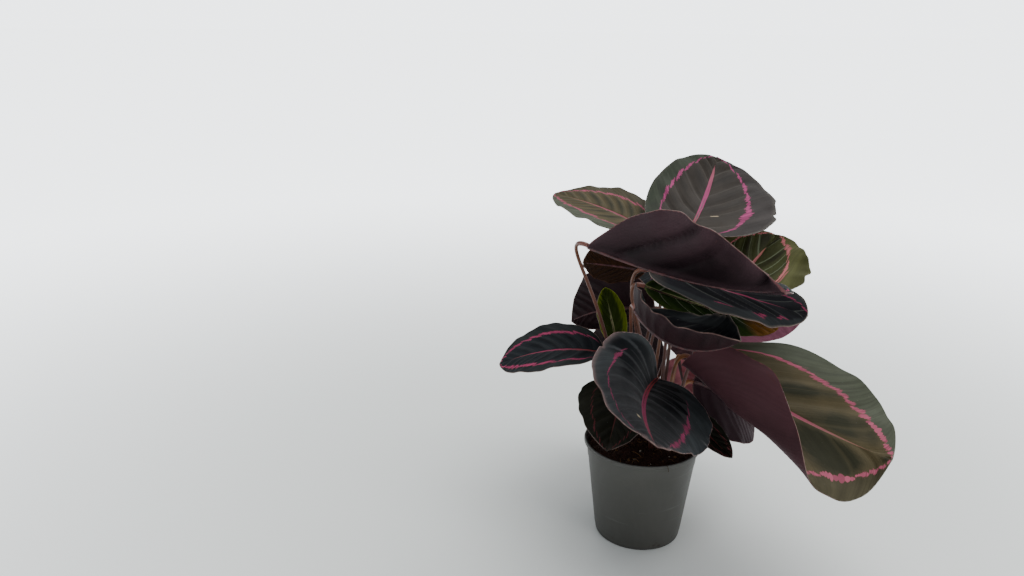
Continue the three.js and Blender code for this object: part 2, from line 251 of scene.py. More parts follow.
def ring_of_strokes(tree, veins, side, own, ring):
    """The share of pink at each point, a random number for each stroke, and the ring's line."""
    half = reckon(tree, "GREATER_THAN", side, 0.5)
    drift = speckle(tree, trio(tree, times(tree, veins, 0.8), half, own), 1.0, 2.0)
    block = times(tree, drift, 1.6, times(tree, veins, BLOCKS_PER_VEIN))
    block = times(tree, half, 7.3, block)
    saw = reckon(tree, "FRACT", block)
    number = plus(tree, reckon(tree, "FLOOR", block), times(tree, own, 11.0))
    step = times(tree, lot(tree, number), 0.7, 0.5)
    line = times(tree, minus(tree, drift, 0.5), 5.0, ring)
    slant = times(tree, minus(tree, saw, 0.5), times(tree, step, -RING_STEP))
    line = plus(tree, line, slant)
    count = times(tree, veins, STROKES_PER_VEIN)
    count = times(tree, drift, 5.0, count)
    stroke = plus(tree, reckon(tree, "FLOOR", count), times(tree, own, 17.0))
    across = times(tree, reckon(tree, "FRACT", count), 2.0, -1.0)
    pointed = times(tree, times(tree, across, across), -STROKE_POINT, 1.0)
    tapered = reckon(tree, "SINE", times(tree, saw, math.pi))
    tapered = times(tree, tapered, 0.62, 0.42)
    fat = times(tree, lot(tree, plus(tree, number, 0.53)), 0.6, 0.7)
    body = times(tree, times(tree, tapered, fat), measure(tree, "pink"))
    reach = times(tree, body, times(tree, pointed, RING_THICK))
    inner = times(tree, reach, times(tree, lot(tree, stroke), 0.8, 0.55))
    other = plus(tree, stroke, 0.37)
    outer = times(tree, reach, times(tree, lot(tree, other), 0.8, 0.55))
    begun = step_up(tree, plus(tree, line, inner), -0.1, 0.3)
    ended = step_down(tree, minus(tree, line, outer), -0.3, 0.1)
    present = step_up(tree, body, 0.02, 0.12)
    share = times(tree, times(tree, begun, ended), present)
    return share, lot(tree, plus(tree, stroke, 0.71)), line


def upper_face(name, field, band, outer, pink, rib_foot, rib_tip, margin,
               gloss=0.58, bands=1.0, veined=0.3, shine=0.05, stripe=None, outer_right=None, soft=1.0,
               broad_bands=BAND_HALF):
    material, tree, shader = new_finish(name, gloss, shine)
    along, side = blade_uv(tree)
    flat = measure(tree, "flat", "Vector")
    own = parts_of(tree, flat)[2]
    rib = measure(tree, "rib")
    ring = measure(tree, "ring")
    edge = measure(tree, "edge")
    veins = measure(tree, "vein")
    strands = measure(tree, "strand")

    inward = reckon(tree, "DIVIDE", rib, reckon(tree, "MAXIMUM", minus(tree, rib, ring), 0.5))
    lens = reckon(tree, "SINE", times(tree, reckon(tree, "MINIMUM", inward, 1.0), math.pi))
    off_centre = reckon(tree, "ABSOLUTE", minus(tree, reckon(tree, "FRACT", veins), 0.5))
    frayed = speckle(tree, trio(tree, veins, times(tree, rib, 0.1), own), 3.0, 3.0)
    off_centre = times(tree, minus(tree, frayed, 0.5), 0.16, off_centre)
    half_band = times(tree, reckon(tree, "POWER", reckon(tree, "MAXIMUM", lens, 0.0), 0.55), broad_bands)
    band_share = step_down(tree, minus(tree, off_centre, half_band), -0.35 * soft - 0.02, 0.13 * soft)
    band_share = times(tree, band_share, step_down(tree, ring, -3.0, 1.5))
    uneven = times(tree, step_up(tree, speckle(tree, flat, 2.1), 0.36, 0.6), 0.55, 0.45)
    bands = times(tree, measure(tree, "banding"), bands)
    band_share = times(tree, band_share, times(tree, uneven, bands))
    gloom = times(tree, measure(tree, "gloom"), step_down(tree, off_centre, 0.33, 0.47))
    gloom = times(tree, gloom, step_up(tree, edge, 2.0, 8.0))
    band_share = reckon(tree, "MINIMUM", reckon(tree, "MAXIMUM", band_share, gloom), 1.0)

    fine = trio(tree, times(tree, strands, 13.0), times(tree, side, 4.0), own)
    threads = speckle(tree, fine, 1.0, 3.0, 0.6)
    broad = trio(tree, times(tree, strands, 3.1), times(tree, side, 2.0), own)
    streaks = step_up(tree, speckle(tree, broad, 1.0, 2.0), 0.3, 0.7)
    share, chance_of, line = ring_of_strokes(tree, strands, side, own, ring)
    outside = step_up(tree, line, -1.2, 1.6)
    left_half = step_up(tree, side, 0.45, 0.55)
    outer_tone = tint(tree, left_half, outer_right or outer, outer)
    outer_tone = tint(tree, times(tree, streaks, 0.6), outer_tone, shade(tree, outer_tone, 0.5))
    colour = tint(tree, outside, field, outer_tone)
    cloud = step_up(tree, speckle(tree, flat, 3.0, 4.0), 0.36, 0.68)
    colour = tint(tree, times(tree, cloud, 0.3), colour, band)
    colour = tint(tree, band_share, colour, band)
    colour = shade(tree, colour, times(tree, threads, 0.6, 0.7))
    off_vein = reckon(tree, "ABSOLUTE", minus(tree, reckon(tree, "FRACT", strands), 0.5))
    vein_line = step_up(tree, off_vein, 0.42, 0.5)
    inner_only = step_down(tree, ring, -4.0, 1.0)
    vein_line = times(tree, vein_line, times(tree, inner_only, veined))
    colour = tint(tree, vein_line, colour, stripe or shade(tree, outer, 1.25))

    share = times(tree, share, step_up(tree, along, 0.03, 0.08))
    blush = tint(tree, chance_of, shade(tree, pink, 0.7), shade(tree, pink, 1.2))
    colour = tint(tree, times(tree, share, 0.95), colour, blush)

    half = measure(tree, "stripe")
    rib_share = step_down(tree, minus(tree, rib, half), -0.4, 0.2)
    rib_share = times(tree, rib_share, step_up(tree, half, 0.0, 0.25))
    rib_colour = tint(tree, step_up(tree, along, 0.1, 0.45), rib_foot, pink)
    rib_colour = tint(tree, step_up(tree, along, 0.5, 0.9), rib_colour, rib_tip)
    rib_colour = tint(tree, times(tree, step_down(tree, rib, 0.1, 0.6), 0.35), rib_colour, rib_foot)
    colour = tint(tree, rib_share, colour, rib_colour)

    wide = times(tree, speckle(tree, flat, 5.0), MARGIN_LINE * 1.6, MARGIN_LINE * 0.4)
    margin_share = step_down(tree, minus(tree, edge, wide), -0.35, 0.35)
    # The pale wash is partly the leaf's own pale margin and partly painted sheen.
    wash = times(tree, measure(tree, "wash"), times(tree, threads, 0.6, 0.6))
    colour = tint(tree, reckon(tree, "MAXIMUM", margin_share, wash), colour, margin)
    colour = tint(tree, measure(tree, "wither"), colour, shade(tree, (0.20, 0.085, 0.012), threads))
    colour = tint(tree, measure(tree, "scar"), colour, (0.5, 0.4, 0.26))
    flecks = step_up(tree, speckle(tree, flat, 34.0, 1.0), 0.79, 0.83)
    colour = tint(tree, times(tree, flecks, 0.4), colour, (0.2, 0.2, 0.18))

    dull = times(tree, speckle(tree, flat, 9.0, 4.0), 0.2, gloss - 0.1)
    dull = times(tree, share, 0.08, dull)
    grain = times(tree, speckle(tree, flat, 60.0, 2.0), 0.4, threads)
    grain = times(tree, vein_line, -1.4, grain)
    dress(tree, shader, colour, grain, 0.00022, dull)
    return material


PINK = (0.30, 0.040, 0.100)
ROSE = (0.28, 0.066, 0.105)
RED = (0.27, 0.045, 0.050)
UPPER_TONES = {
    "night": dict(
        field=(0.0165, 0.0195, 0.0225), band=(0.0030, 0.0040, 0.0055), outer=(0.0210, 0.0250, 0.0250),
        pink=PINK, rib_foot=RED, rib_tip=(0.20, 0.07, 0.08), margin=(0.12, 0.09, 0.08),
        stripe=(0.034, 0.040, 0.038),
    ),
    # Leaf a: its grey field, paler outer zone and grey stripes are partly its own colour and partly painted
    # satin sheen.
    "slate_with_sheen": dict(
        field=(0.038, 0.039, 0.041), band=(0.0035, 0.0045, 0.0060), outer=(0.040, 0.045, 0.048),
        pink=(0.24, 0.042, 0.095), rib_foot=RED, rib_tip=(0.20, 0.055, 0.080), margin=(0.26, 0.17, 0.16),
        gloss=0.5, stripe=(0.062, 0.066, 0.066), outer_right=(0.050, 0.055, 0.058), soft=0.3,
        broad_bands=0.44,
    ),
    "olive": dict(
        field=(0.068, 0.054, 0.028), band=(0.019, 0.019, 0.010), outer=(0.068, 0.076, 0.053), pink=ROSE,
        rib_foot=(0.25, 0.050, 0.052), rib_tip=(0.17, 0.115, 0.078), margin=(0.13, 0.13, 0.10),
        veined=0.2, outer_right=(0.056, 0.049, 0.028), stripe=(0.086, 0.070, 0.036),
    ),
    "smoke": dict(
        field=(0.037, 0.031, 0.026), band=(0.012, 0.0107, 0.0098), outer=(0.044, 0.052, 0.037),
        pink=(0.28, 0.047, 0.130), rib_foot=(0.20, 0.058, 0.050), rib_tip=(0.28, 0.078, 0.11),
        margin=(0.14, 0.13, 0.11), bands=0.5, veined=0.35, stripe=(0.070, 0.062, 0.054),
        outer_right=(0.040, 0.034, 0.032),
    ),
    "young": dict(
        field=(0.038, 0.042, 0.014), band=(0.013, 0.012, 0.005), outer=(0.082, 0.084, 0.031),
        pink=(0.36, 0.105, 0.115), rib_foot=(0.28, 0.13, 0.09), rib_tip=(0.30, 0.14, 0.09),
        margin=(0.17, 0.17, 0.11), veined=0.8, stripe=(0.120, 0.140, 0.085),
    ),
    "sprout": dict(
        field=(0.020, 0.034, 0.008), band=(0.006, 0.012, 0.004), outer=(0.028, 0.048, 0.008),
        pink=(0.2, 0.2, 0.1), rib_foot=(0.16, 0.16, 0.07), rib_tip=(0.25, 0.26, 0.15),
        margin=(0.06, 0.08, 0.02), veined=0.75, bands=0.9, stripe=(0.16, 0.17, 0.12),
    ),
    "shoot": dict(
        field=(0.016, 0.026, 0.002), band=(0.009, 0.014, 0.002), outer=(0.075, 0.100, 0.005),
        pink=(0.2, 0.2, 0.1), rib_foot=(0.035, 0.045, 0.008), rib_tip=(0.04, 0.06, 0.01),
        margin=(0.14, 0.17, 0.02), veined=0.1, bands=0.6, stripe=(0.05, 0.07, 0.02),
    ),
    "dusk": dict(
        field=(0.0120, 0.0115, 0.0075), band=(0.0050, 0.0052, 0.0035), outer=(0.0125, 0.0130, 0.0085),
        pink=(0.085, 0.020, 0.024), rib_foot=(0.08, 0.025, 0.02), rib_tip=(0.07, 0.032, 0.026),
        margin=(0.036, 0.031, 0.026), bands=0.9, veined=0.5,
    ),
    # Leaves g and h: their own dark colour, darkened further by painted shade from the leaves above them.
    "ink_in_shade": dict(
        field=(0.0055, 0.0055, 0.0070), band=(0.0012, 0.0012, 0.0018), outer=(0.0150, 0.0170, 0.0180),
        pink=(0.120, 0.018, 0.042), rib_foot=(0.05, 0.012, 0.018), rib_tip=(0.120, 0.020, 0.040),
        margin=(0.115, 0.095, 0.080), gloss=0.62, veined=0.85, shine=0.012, stripe=(0.032, 0.034, 0.031),
        soft=0.5,
    ),
}
upper_faces = {name: upper_face(f"leaf_top_{name}", **tones) for name, tones in UPPER_TONES.items()}
print("upper faces:", ", ".join(upper_faces))

# %% [markdown]
# ## The leaf's underside
# Below, the blade is plum purple with a dull bloom, darker in soft bands along the side
# veins, and its margin catches the light as a thin rosy line. The dark bands are partly the
# leaf's own colour and partly painted shade in the creases of its folds. It could be a plain
# colour, but at a step away those bands are what tells an underside from a shadow.

# %% Finish of the underside, the cut edge and the rib
def underside(name, plum, band_and_crease_shade, rim, bands=0.7, shine=0.07, painted_light_to_margin=0.0):
    material, tree, shader = new_finish(name, 0.55, shine)
    along, side = blade_uv(tree)
    flat = measure(tree, "flat", "Vector")
    own = parts_of(tree, flat)[2]
    rib = measure(tree, "rib")
    edge = measure(tree, "edge")
    veins = measure(tree, "vein")
    strands = measure(tree, "strand")
    # Painted shade in part: the bands darken along the side veins, where the folds crease.
    wave = reckon(tree, "COSINE", times(tree, veins, 2 * math.pi))
    band = step_up(tree, wave, -0.5, 1.0)
    uneven = step_up(tree, speckle(tree, flat, 2.4, 3.0), 0.28, 0.68)
    share = times(tree, times(tree, band, uneven), bands, 0.1)
    colour = tint(tree, share, plum, band_and_crease_shade)
    cloud = step_up(tree, speckle(tree, flat, 1.6, 4.0), 0.42, 0.75)
    colour = tint(tree, times(tree, cloud, 0.35), colour, shade(tree, plum, 1.5))
    fine = trio(tree, times(tree, strands, 15.0), times(tree, side, 5.0), own)
    threads = speckle(tree, fine, 1.0, 3.0, 0.6)
    colour = shade(tree, colour, times(tree, threads, 0.4, 0.8))
    # Painted light and shade: where this factor is set, the underside grows lighter towards the margin and
    # darker near the midrib.
    out = reckon(tree, "ABSOLUTE", times(tree, side, 2.0, -1.0))
    colour = shade(tree, colour, times(tree, minus(tree, out, 0.6), painted_light_to_margin, 1.0))
    near_rib = times(tree, step_down(tree, rib, 1.0, 9.0), 0.4)
    colour = tint(tree, near_rib, colour, shade(tree, plum, 1.6))
    nick_at = trio(tree, times(tree, strands, 2.0), times(tree, rib, 0.035), own)
    nicks = step_up(tree, speckle(tree, nick_at, 2.4, 1.0), 0.76, 0.79)
    colour = tint(tree, times(tree, nicks, 0.25), colour, shade(tree, rim, 0.5))
    rim_share = step_down(tree, edge, 0.5, 1.4)
    colour = tint(tree, times(tree, rim_share, 0.75), colour, rim)
    dull = times(tree, speckle(tree, flat, 8.0, 4.0), 0.2, 0.46)
    shader.inputs["Sheen Weight"].default_value = 0.025
    shader.inputs["Sheen Roughness"].default_value = 0.4
    shader.inputs["Sheen Tint"].default_value = (0.8, 0.6, 0.7, 1)
    grain = times(tree, speckle(tree, flat, 50.0, 2.0), 0.4, threads)
    grain = times(tree, wave, 0.5, grain)
    dress(tree, shader, colour, grain, 0.0003, dull)
    return material


def plain_tissue(name, pale, dark):
    """The fleshy, mottled tissue of a cut edge or a rib."""
    material, tree, shader = new_finish(name, 0.5, 0.35)
    place = place_on(tree)
    share = step_up(tree, speckle(tree, place, 160.0, 3.0), 0.35, 0.65)
    dress(tree, shader, tint(tree, share, dark, pale), speckle(tree, place, 900.0, 1.0), 0.0001)
    return material


UNDER_TONES = {
    "plum": ((0.0185, 0.0092, 0.0118), (0.0085, 0.0040, 0.0055), (0.11, 0.045, 0.045)),
    "velvet": ((0.0215, 0.0115, 0.0140), (0.0055, 0.0024, 0.0033), (0.11, 0.045, 0.045), 0.85, 0.045, 1.3),
    "smooth_plum": ((0.0200, 0.0095, 0.0125), (0.0140, 0.0066, 0.0088), (0.09, 0.04, 0.04), 0.3, 0.05),
    "mauve": ((0.052, 0.0215, 0.0260), (0.030, 0.0125, 0.0150), (0.11, 0.035, 0.035)),
    "rose": ((0.17, 0.056, 0.088), (0.090, 0.029, 0.045), (0.26, 0.12, 0.14)),
    # Leaf t: its own rose underside made brighter by painted light, the light that shines through the thin
    # blade.
    "backlit_rose": ((0.34, 0.105, 0.125), (0.18, 0.050, 0.060), (0.40, 0.20, 0.18)),
    "rust": ((0.016, 0.006, 0.002), (0.006, 0.0025, 0.0015), (0.05, 0.02, 0.01)),
    "wine": ((0.0105, 0.0036, 0.0046), (0.0050, 0.0017, 0.0023), (0.12, 0.07, 0.06)),
}
undersides = {name: underside(f"leaf_under_{name}", *tones) for name, tones in UNDER_TONES.items()}
cut_edge = plain_tissue("leaf_cut_edge", (0.14, 0.085, 0.07), (0.06, 0.032, 0.028))
rib_below = plain_tissue("leaf_rib_below", (0.060, 0.016, 0.017), (0.024, 0.008, 0.009))
print("undersides:", ", ".join(undersides))

# %% [markdown]
# ## The shape of a blade
# A leaf could be sculpted one by one. Here one rule describes them all, the same rule as
# the solids use, so that the fine blade lies where the plain one does. The midrib is a
# line that turns, sags and rolls. Each half leaves it at a fold angle and bends on towards
# the margin. Every leaf below is one entry of that rule: lengths are in millimetres and
# angles in degrees.

# %% The twenty-one leaves
def leaf_entry(base, root, length, width, heading, rise, sag, turn=0, curl=0, roll=0, twist=0,
               lean=0.1, shoulder=0.5, point=0.72, opening=1, hold=1,
               left=(12, 4), left_bend=(0, 0), right=(12, 4), right_bend=(0, 0), share=1):
    """One leaf by its numbers. What isn't said is as on most leaves."""
    return dict(
        base=base, root=root, length=length, width=width, heading=heading, rise=rise, sag=sag, turn=turn,
        curl=curl, roll=roll, twist=twist, lean=lean, shoulder=shoulder, point=point, opening=opening,
        hold=hold, left=dict(fold=left, bend=left_bend),
        right=dict(fold=right, bend=right_bend, share=share),
    )


LEAVES = {
    "a": leaf_entry(
        (12, 6, 169), (8, -10), 151, 144, heading=-119, turn=41, rise=4, sag=-11, curl=5, roll=-20,
        twist=1, lean=0.07, point=0.78, opening=0.62, hold=0.75, left=(26, 0), left_bend=(-5, -41),
        right=(67, 15), right_bend=(21, -16),
    ),
    "b": leaf_entry(
        (-18, 23, 157), (-14, 6), 104, 82, heading=-103, turn=-6, rise=-2, sag=-26, curl=-3, roll=4,
        twist=-7, lean=0.07, shoulder=0.44, point=0.81, opening=1.01, left=(16, 12), right=(13, 15),
    ),
    "c": leaf_entry(
        (44, -3, 197), (26, 4), 204, 175, heading=-33, turn=-5, rise=-18, sag=-2, curl=15, roll=-33,
        twist=68, lean=0.22, shoulder=0.36, point=0.9, opening=1.85, hold=1.31, left=(35, -22),
        right=(-43, -3), right_bend=(144, 37), share=1.35,
    ),
    "d": leaf_entry(
        (-68, -47, 324), (-23, 32), 198, 123, heading=-36, turn=-19, rise=-11, sag=14, curl=15, roll=13,
        twist=-8, lean=0.06, shoulder=0.88, point=0.76, opening=1.14, left=(21, -22), right=(80, 58),
        share=1.22,
    ),
    "e": leaf_entry(
        (42, 56, 309), (22, 28), 157, 121, heading=64, turn=6, rise=12, sag=17, curl=6, roll=-1, twist=20,
        lean=0.11, shoulder=0.36, point=0.71, opening=1.14, left=(-1, 14), right=(1, 5), share=1.3,
    ),
    "f": leaf_entry(
        (89, 25, 265), (36, 14), 104, 110, heading=59, turn=-15, rise=12, sag=10, curl=6, roll=7, twist=4,
        lean=0.04, shoulder=0.38, point=0.75, opening=1.08, left=(9, 23), right=(3, 29), share=1.11,
    ),
    "g": leaf_entry(
        (-2, 5, 286), (4, 20), 153, 97, heading=-19, turn=-3, rise=-7, sag=-11, curl=7, roll=-6, twist=7,
        lean=0.17, shoulder=0.46, point=0.6, opening=0.99, left=(-4, 12), right=(-12, -6),
    ),
    "h": leaf_entry(
        (-20, -36, 259), (-7, 31), 152, 97, heading=-79, turn=33, rise=-14, sag=26, curl=25, roll=-5,
        twist=18, lean=0.11, shoulder=0.4, opening=0.91, hold=1.05, left=(9, 30), right=(66, 53),
        right_bend=(21, -24), share=1.14,
    ),
    "i": leaf_entry(
        (54, 25, 158), (39, 26), 108, 86, heading=12, turn=6, rise=-21, sag=-38, curl=-5, roll=-114,
        twist=-23, shoulder=0.52, point=0.69, opening=1.01, left=(-5, -11), right=(5, 0), share=0.74,
    ),
    "j": leaf_entry(
        (42, 7, 136), (22, -10), 72, 31, heading=-55, turn=5, rise=-23, sag=-4, curl=7, roll=16, twist=7,
        lean=0.08, shoulder=0.49, point=0.76, opening=0.99, left=(30, 21), right=(25, 18),
    ),
    "k": leaf_entry(
        (1, 40, 276), (0, 38), 66, 68, heading=176, turn=-3, rise=9, sag=-10, curl=2, roll=48, twist=7,
        left=(12, 6), right=(2, 4), share=1.02,
    ),
    "l": leaf_entry(
        (13, 93, 302), (13, 36), 124, 99, heading=148, turn=2, rise=23, sag=-19, roll=-14, twist=8,
        left=(10, 5), right=(8, 2),
    ),
    "m": leaf_entry(
        (-13, 104, 200), (-18, 44), 156, 94, heading=76, rise=-20, sag=-66, twist=6, shoulder=0.85,
        point=0.42,
    ),
    "n": leaf_entry((57, 104, 194), (15, 47), 134, 100, heading=62, rise=-8, sag=-74, point=0.56),
    "o": leaf_entry((-40, 40, 184), (-30, 38), 115, 88, heading=172, rise=8, sag=-38, roll=-12),
    "p": leaf_entry(
        (32, 74, 219), (5, 46), 152, 76, heading=4, rise=-2, sag=-5, curl=3, roll=-64, twist=-17,
        lean=0.12, shoulder=0.51, point=0.69, opening=1.01, left=(8, -6), right=(5, 0),
    ),
    "q": leaf_entry(
        (-7, -3, 272), (13, 18), 137, 49, heading=-7, turn=4, rise=-18, sag=1, curl=4, roll=28,
        left=(10, 5), right=(-5, -5),
    ),
    "r": leaf_entry(
        (-26, 34, 193), (-12, 38), 64, 36, heading=115, turn=4, rise=62, sag=0, curl=4, roll=-1, twist=2,
        left=(6, 9), right=(11, 8), share=0.94,
    ),
    "s": leaf_entry(
        (15, 60, 228), (25, 37), 100, 93, heading=165, turn=-18, rise=0, sag=-33, curl=-4, roll=59,
        twist=46, lean=0.08, point=0.74, opening=0.99, left=(15, 19), right=(12, 6), share=0.5,
    ),
    "t": leaf_entry(
        (41, 38, 179), (30, 22), 72, 48, heading=58, turn=-9, rise=-65, sag=1, curl=2, roll=3, twist=-8,
        lean=0.11, shoulder=0.57, point=0.7, left=(9, 3), right=(14, 16), share=1.02,
    ),
    "u": leaf_entry((5, 118, 232), (-9, 48), 126, 100, heading=98, turn=-6, rise=14, sag=-42, roll=-4),
}
FINISHES = {
    "a": ("slate_with_sheen", "plum"), "b": ("dusk", "plum"), "c": ("olive", "mauve"), "d": ("night", "velvet"),
    "e": ("smoke", "plum"), "f": ("young", "plum"), "g": ("ink_in_shade", "plum"), "h": ("ink_in_shade", "wine"),
    "i": ("dusk", "smooth_plum"), "j": ("dusk", "plum"), "k": ("night", "rust"), "l": ("olive", "plum"),
    "m": ("night", "wine"), "n": ("olive", "mauve"), "o": ("night", "plum"), "p": ("olive", "rose"),
    "q": ("sprout", "plum"), "r": ("shoot", "rose"), "s": ("night", "wine"), "t": ("dusk", "backlit_rose"),
    "u": ("night", "plum"),
}
VEINS = dict(a=9, b=8, c=8, d=7, e=6, f=5, g=7, h=8, j=6, q=7, r=5, t=6)
print(len(LEAVES), "leaves, from", min(v["length"] for v in LEAVES.values()), "mm to",
      max(v["length"] for v in LEAVES.values()), "mm long")

# %% [markdown]
# ## From numbers to a surface
# The rule is worked out for many points at once. First comes the midrib as a chain of
# short steps, each with three directions: along it, to its left and out of its upper face.
# A point of the blade then walks from the midrib out into its half, turning as it goes.
# The walk could be one circular arc, but a real half curls more near its margin, so the
# turn is added up in small steps.

# %% The blade rule
MIDRIB_STATIONS = 240
SECTION_STEPS = 12


def midrib(leaf):
    def directions(s):
        rise = np.radians(leaf["rise"] + leaf["sag"] * s + leaf["curl"] * s * s)
        heading = np.radians(leaf["heading"] + leaf["turn"] * s)
        level = np.cos(rise)
        along = np.stack([level * np.cos(heading), level * np.sin(heading), np.sin(rise)], -1)
        side = np.stack([-np.sin(heading), np.cos(heading), np.zeros_like(s)], -1)
        return along, side

    s = np.linspace(0, 1, MIDRIB_STATIONS + 1)
    middles, _ = directions((s[:-1] + s[1:]) / 2)
    start = np.array(leaf["base"], float)
    steps = np.cumsum(middles, 0) * leaf["length"] / MIDRIB_STATIONS
    along, side = directions(s)
    up = np.cross(along, side)
    roll = np.radians(leaf["roll"] + leaf["twist"] * s)[:, None]
    return dict(
        s=s,
        place=np.vstack([start, start + steps]),
        along=along,
        left=side * np.cos(roll) + up * np.sin(roll),
        face=up * np.cos(roll) - side * np.sin(roll),
    )


def between(line, key, s):
    return np.stack([np.interp(s, line["s"], line[key][:, k]) for k in range(3)], -1)


def half_width(leaf, s):
    shoulder = leaf["shoulder"]
    point = leaf["point"]
    widest = shoulder / (shoulder + point)
    most = widest**shoulder * (1 - widest) ** point
    s = np.clip(s, 0, 1)
    return leaf["width"] / 2 * s**shoulder * (1 - s) ** point / most


def along_midrib(leaf, s, out):
    """Where the point's own foot stands on the midrib, because side veins slant."""
    return s + leaf["lean"] * 4 * s * (1 - s) * out**1.6


def share_of(leaf, t):
    """The right half's width beside the left's."""
    return np.where(t >= 0, 1.0, leaf["right"]["share"])


def by_side(leaf, t, key, index):
    return np.where(t >= 0, leaf["left"][key][index], leaf["right"][key][index])


def blade_points(leaf, line, s, t, lift, swell=1.0):
    """Points in millimetres: s from base to tip, t from the right margin to the left."""
    out = np.abs(t)
    q = np.clip(along_midrib(leaf, s, out), 0, 1)
    reach = out * half_width(leaf, s) * share_of(leaf, t) * swell
    eased = np.maximum(q, 1e-6) ** leaf["opening"]
    fold_a = by_side(leaf, t, "fold", 0)
    bend_a = by_side(leaf, t, "bend", 0)
    fold = np.radians(fold_a + (by_side(leaf, t, "fold", 1) - fold_a) * eased)
    bend = np.radians(bend_a + (by_side(leaf, t, "bend", 1) - bend_a) * eased)
    across = np.zeros_like(reach)
    over = np.zeros_like(reach)
    for i in range(SECTION_STEPS):
        walked = reach * (i + 0.5) / SECTION_STEPS
        angle = fold + bend * (walked / (leaf["width"] / 2)) ** leaf["hold"]
        across += np.cos(angle) * reach / SECTION_STEPS
        over += np.sin(angle) * reach / SECTION_STEPS
    tilt = np.where(out > 0, fold + bend * (reach / (leaf["width"] / 2)) ** leaf["hold"], 0.0)
    sign = np.where(t >= 0, 1.0, -1.0)
    sideways = (sign * (across - np.sin(tilt) * lift))[:, None]
    outwards = (over + np.cos(tilt) * lift)[:, None]
    middle = between(line, "place", q)
    return middle + between(line, "left", q) * sideways + between(line, "face", q) * outwards


reach_of_c = half_width(LEAVES["c"], np.array([0.3]))[0]
print("the biggest leaf is", round(2 * reach_of_c), "mm across")

# %% [markdown]
# ## Relief on the blade
# A flat sheet of the right outline looks like cut paper. The living blade is quilted: it
# swells between its side veins and sinks along them and along the midrib, and its margin
# runs in slow waves. A displacement texture could do it, but it knows nothing of veins.
# So the relief is written in the blade's own two measures and added as a small lift.
# Side veins leave the midrib at a slant and arch towards the tip. For the leaves that show
# them plainly, VEIN_RUNS says how many big bands a half has, how far they sweep and where
# they lie. FOLDS is the depth of the big folds in millimetres, and is below zero where
# they stand out on the underside. FRILLS says how lively the margin is, and BITES lists its
# cuts: the half, the place from base to tip, the half length and the depth.

# %% Quilting and waves
USUAL_RUN = dict(sweep=(0.55, 1.2), phase=(0.0, 0.5), wander=(1.0, 4.0))
VEIN_RUNS = {
    "a": dict(bands=11, sweep=(0.45, 1.2), phase=(0.78, 0.78), wander=(5.3, 5.3)),
    "c": dict(bands=2.91, sweep=(0.76, 0.95), phase=(0.64, 0.69), wander=(3.46, 3.86)),
    "d": dict(bands=2.84, sweep=(0.91, 0.95), phase=(0.63, 0.63), wander=(4.74, 4.74)),
    "e": dict(bands=5.89, sweep=(0.60, 0.95), phase=(0.08, 0.53), wander=(4.57, 3.41)),
    "f": dict(bands=2.9, sweep=(1.1, 1.05), phase=(0.38, 0.40), wander=(3.13, 4.91)),
    "g": dict(bands=4.6, sweep=(0.9, 1.15), phase=(0.60, 0.60), wander=(2.27, 2.27)),
}
FOLDS = dict(a=0.7, c=3.4, d=-6.5, e=2.4, f=2.0, g=1.4, h=0.25, i=0.1)
USUAL_FOLD = 0.5
FRILLS = dict(h=2.6, g=1.5, a=1.5)
BITES = {
    "a": [(-1, 0.40, 0.012, 0.05), (-1, 0.925, 0.012, 0.22), (1, 0.93, 0.012, 0.2)],
    "e": [(-1, 0.93, 0.02, 0.12), (-1, 0.70, 0.05, 0.03), (-1, 0.36, 0.03, 0.07),
          (-1, 0.50, 0.035, 0.03)],
}
USUAL_VEINS = 9
SWEEP_MOST = 1.5
UNEVEN_VEINS = 0.25
QUILT_DEPTH = 0.85
GROOVE_DEPTH = 0.9
GROOVE_HALF = 2.2
SLOW_WAVE = 1.3
QUICK_WAVE = 0.45
NIBBLE = 0.011
FIRST_SEED = 100
USUAL_RAGGEDNESS = (1.0, 1.0)
RAGGEDNESS = dict(a=(0.3, 0.8), c=(0.5, 1.0), e=(0.25, 1.5), f=(1.8, 1.8), g=(1.2, 1.7), h=(1.5, 1.5))
QUILTING = dict(c=0.7, d=0.8, a=0.5, e=0.7, f=0.8, i=0.15, h=0.5)


def vein_number(leaf, s, t, draw):
    """Goes up by one from side vein to side vein, and is the same all the way along one."""
    out = np.abs(t)
    sides = (t < 0).astype(int)
    q = np.clip(along_midrib(leaf, s, out), 0, 1)
    sweep, arch = draw["sweep"]
    foot = q - SWEEP_MOST * sweep * q * (1 - q**3) * out**arch
    uneven = UNEVEN_VEINS * np.sin(9 * foot + draw["wander"][sides])
    return draw["bands"] * foot + draw["phase"][sides] + uneven


def puff(count, out, end):
    """High between veins and low along them, fading to the midrib and the margin."""
    return (np.abs(np.sin(np.pi * count)) ** 0.7 - 0.62) * np.sin(np.pi * np.clip(out, 0, 1) ** end) ** end


def relief(leaf, s, t, draw):
    out = np.abs(t)
    reach = half_width(leaf, s) * out
    sides = (t < 0).astype(int)
    scale = leaf["width"] / 100
    veins = vein_number(leaf, s, t, draw)
    lift = draw["quilt"] * puff(veins * draw["strands"], out, 0.8)
    lift += draw["fold"] * puff(veins, out, 0.7)
    lift -= GROOVE_DEPTH * np.exp(-((reach / GROOVE_HALF) ** 2)) * np.clip(1 - s, 0, 1) ** 0.5
    ends = np.sin(np.pi * np.clip(s, 0, 1)) ** 0.6
    slow = np.sin(2 * np.pi * (draw["slow"][sides] * s) + draw["start"][sides])
    quick = np.sin(2 * np.pi * (draw["quick"][sides] * s) + draw["later"][sides])
    lift += scale * ends * (SLOW_WAVE * slow * out**3 + QUICK_WAVE * draw["frill"] * quick * out**8)
    return lift


